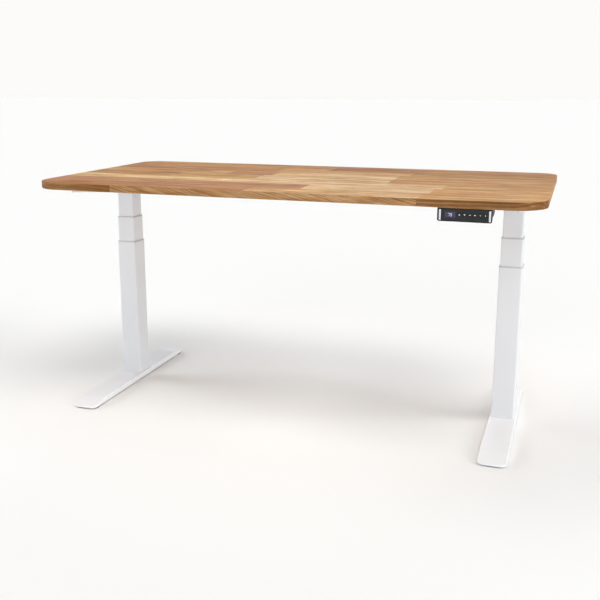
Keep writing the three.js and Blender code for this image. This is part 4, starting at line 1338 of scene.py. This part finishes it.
# ------ studio
BACKDROP = (0.9734, 0.9647, 0.9473)
FLOOR_COLOUR = (0.947, 0.941, 0.924)
FLOOR_REACH = 60  # metres
LAMP_SOFTNESS = 34  # degrees across
WARM = (1.07, 1.0, 0.942)
COOL = (0.93, 0.99, 1.035)
LAMPS = (  # name, degrees round from the right side toward the back, degrees up, strength, colour
    ("key_light", -45, 62, 1.08, WARM),
    ("back_key", 135, 62, 0.30, WARM),
    ("right_fill", 0, 28, 1.33, COOL),
    ("left_fill", 180, 26, 1.42, COOL),
    ("front_fill", -90, 28, 0.44, COOL),
    ("back_fill", 90, 30, 0.45, COOL),
)
WALLS = 1.55  # light of the studio walls at the horizon
WALLS_TOP = 0.5  # sine of the elevation where they end


def floor_sheet():
    bm = bmesh.new()
    bmesh.ops.create_grid(bm, x_segments=1, y_segments=1, size=FLOOR_REACH)
    mesh = bpy.data.meshes.new("floor")
    bm.to_mesh(mesh)
    bm.free()
    paint = bpy.data.materials.new("studio_floor")
    paint.use_nodes = True
    shader = paint.node_tree.nodes["Principled BSDF"]
    shader.inputs["Base Color"].default_value = (*FLOOR_COLOUR, 1)
    shader.inputs["Roughness"].default_value = 1.0
    shader.inputs["Specular IOR Level"].default_value = 0.0
    mesh.materials.append(paint)
    floor = placed("floor", mesh)


def lamps():
    for name, heading, rise, strength, colour in LAMPS:
        across, up = math.radians(heading), math.radians(rise)
        lamp = bpy.data.lights.new(name, "SUN")
        lamp.energy = strength
        lamp.color = colour
        lamp.angle = math.radians(LAMP_SOFTNESS)
        level = math.cos(up)
        came_from = Vector((level * math.cos(across), level * math.sin(across), math.sin(up)))
        holder = placed(name, lamp)
        holder.rotation_mode = "QUATERNION"
        holder.rotation_quaternion = came_from.to_track_quat("Z", "Y")


def studio_walls():
    """Light from the walls that fades upward; the camera sees an even backdrop instead."""
    world = bpy.data.worlds.new("studio")
    bpy.context.scene.world = world
    world.use_nodes = True
    world.node_tree.nodes.clear()
    sky = Tree(world.node_tree)
    way = sky.add("ShaderNodeTexCoord").outputs["Generated"]
    rise = sky.add("ShaderNodeSeparateXYZ", {0: way}).outputs["Z"]
    fade = {"Value": rise, "From Min": 0.0, "From Max": WALLS_TOP, "To Min": WALLS, "To Max": 0.0}
    glow = sky.add("ShaderNodeMapRange", fade).outputs["Result"]
    walls = sky.add("ShaderNodeBackground", {"Color": (*COOL, 1), "Strength": glow}).outputs[0]
    seen = sky.add("ShaderNodeBackground", {"Color": (*BACKDROP, 1)}).outputs[0]
    is_seen = sky.add("ShaderNodeLightPath").outputs["Is Camera Ray"]
    choice = sky.add("ShaderNodeMixShader", {0: is_seen, 1: walls, 2: seen})
    sky.add("ShaderNodeOutputWorld", {"Surface": choice.outputs[0]})


CAMERA_AT = (0.8744, -2.6536, 1.0923)
CAMERA_HEADING = 19.44  # degrees to the left of straight ahead
CAMERA_DIP = 12.28  # degrees below the horizon
CAMERA_ROLL = -0.11
CAMERA_LENS = 49.96
CAMERA_SHIFT = (0.0223, -0.0569)
CAMERA_SENSOR = 36
CAMERA_REACH = 200  # metres


def camera():
    data = bpy.data.cameras.new("camera")
    data.lens = CAMERA_LENS
    data.sensor_width = CAMERA_SENSOR
    data.shift_x, data.shift_y = CAMERA_SHIFT
    data.clip_end = CAMERA_REACH
    turn = Matrix.Rotation(math.radians(CAMERA_HEADING), 4, "Z")
    turn @= Matrix.Rotation(math.radians(90 - CAMERA_DIP), 4, "X")
    turn @= Matrix.Rotation(math.radians(CAMERA_ROLL), 4, "Z")
    made = placed("camera", data)
    made.matrix_world = Matrix.Translation(CAMERA_AT) @ turn
    bpy.context.scene.camera = made


floor_sheet()
lamps()
studio_walls()
camera()
bpy.context.scene.view_settings.view_transform = "Standard"
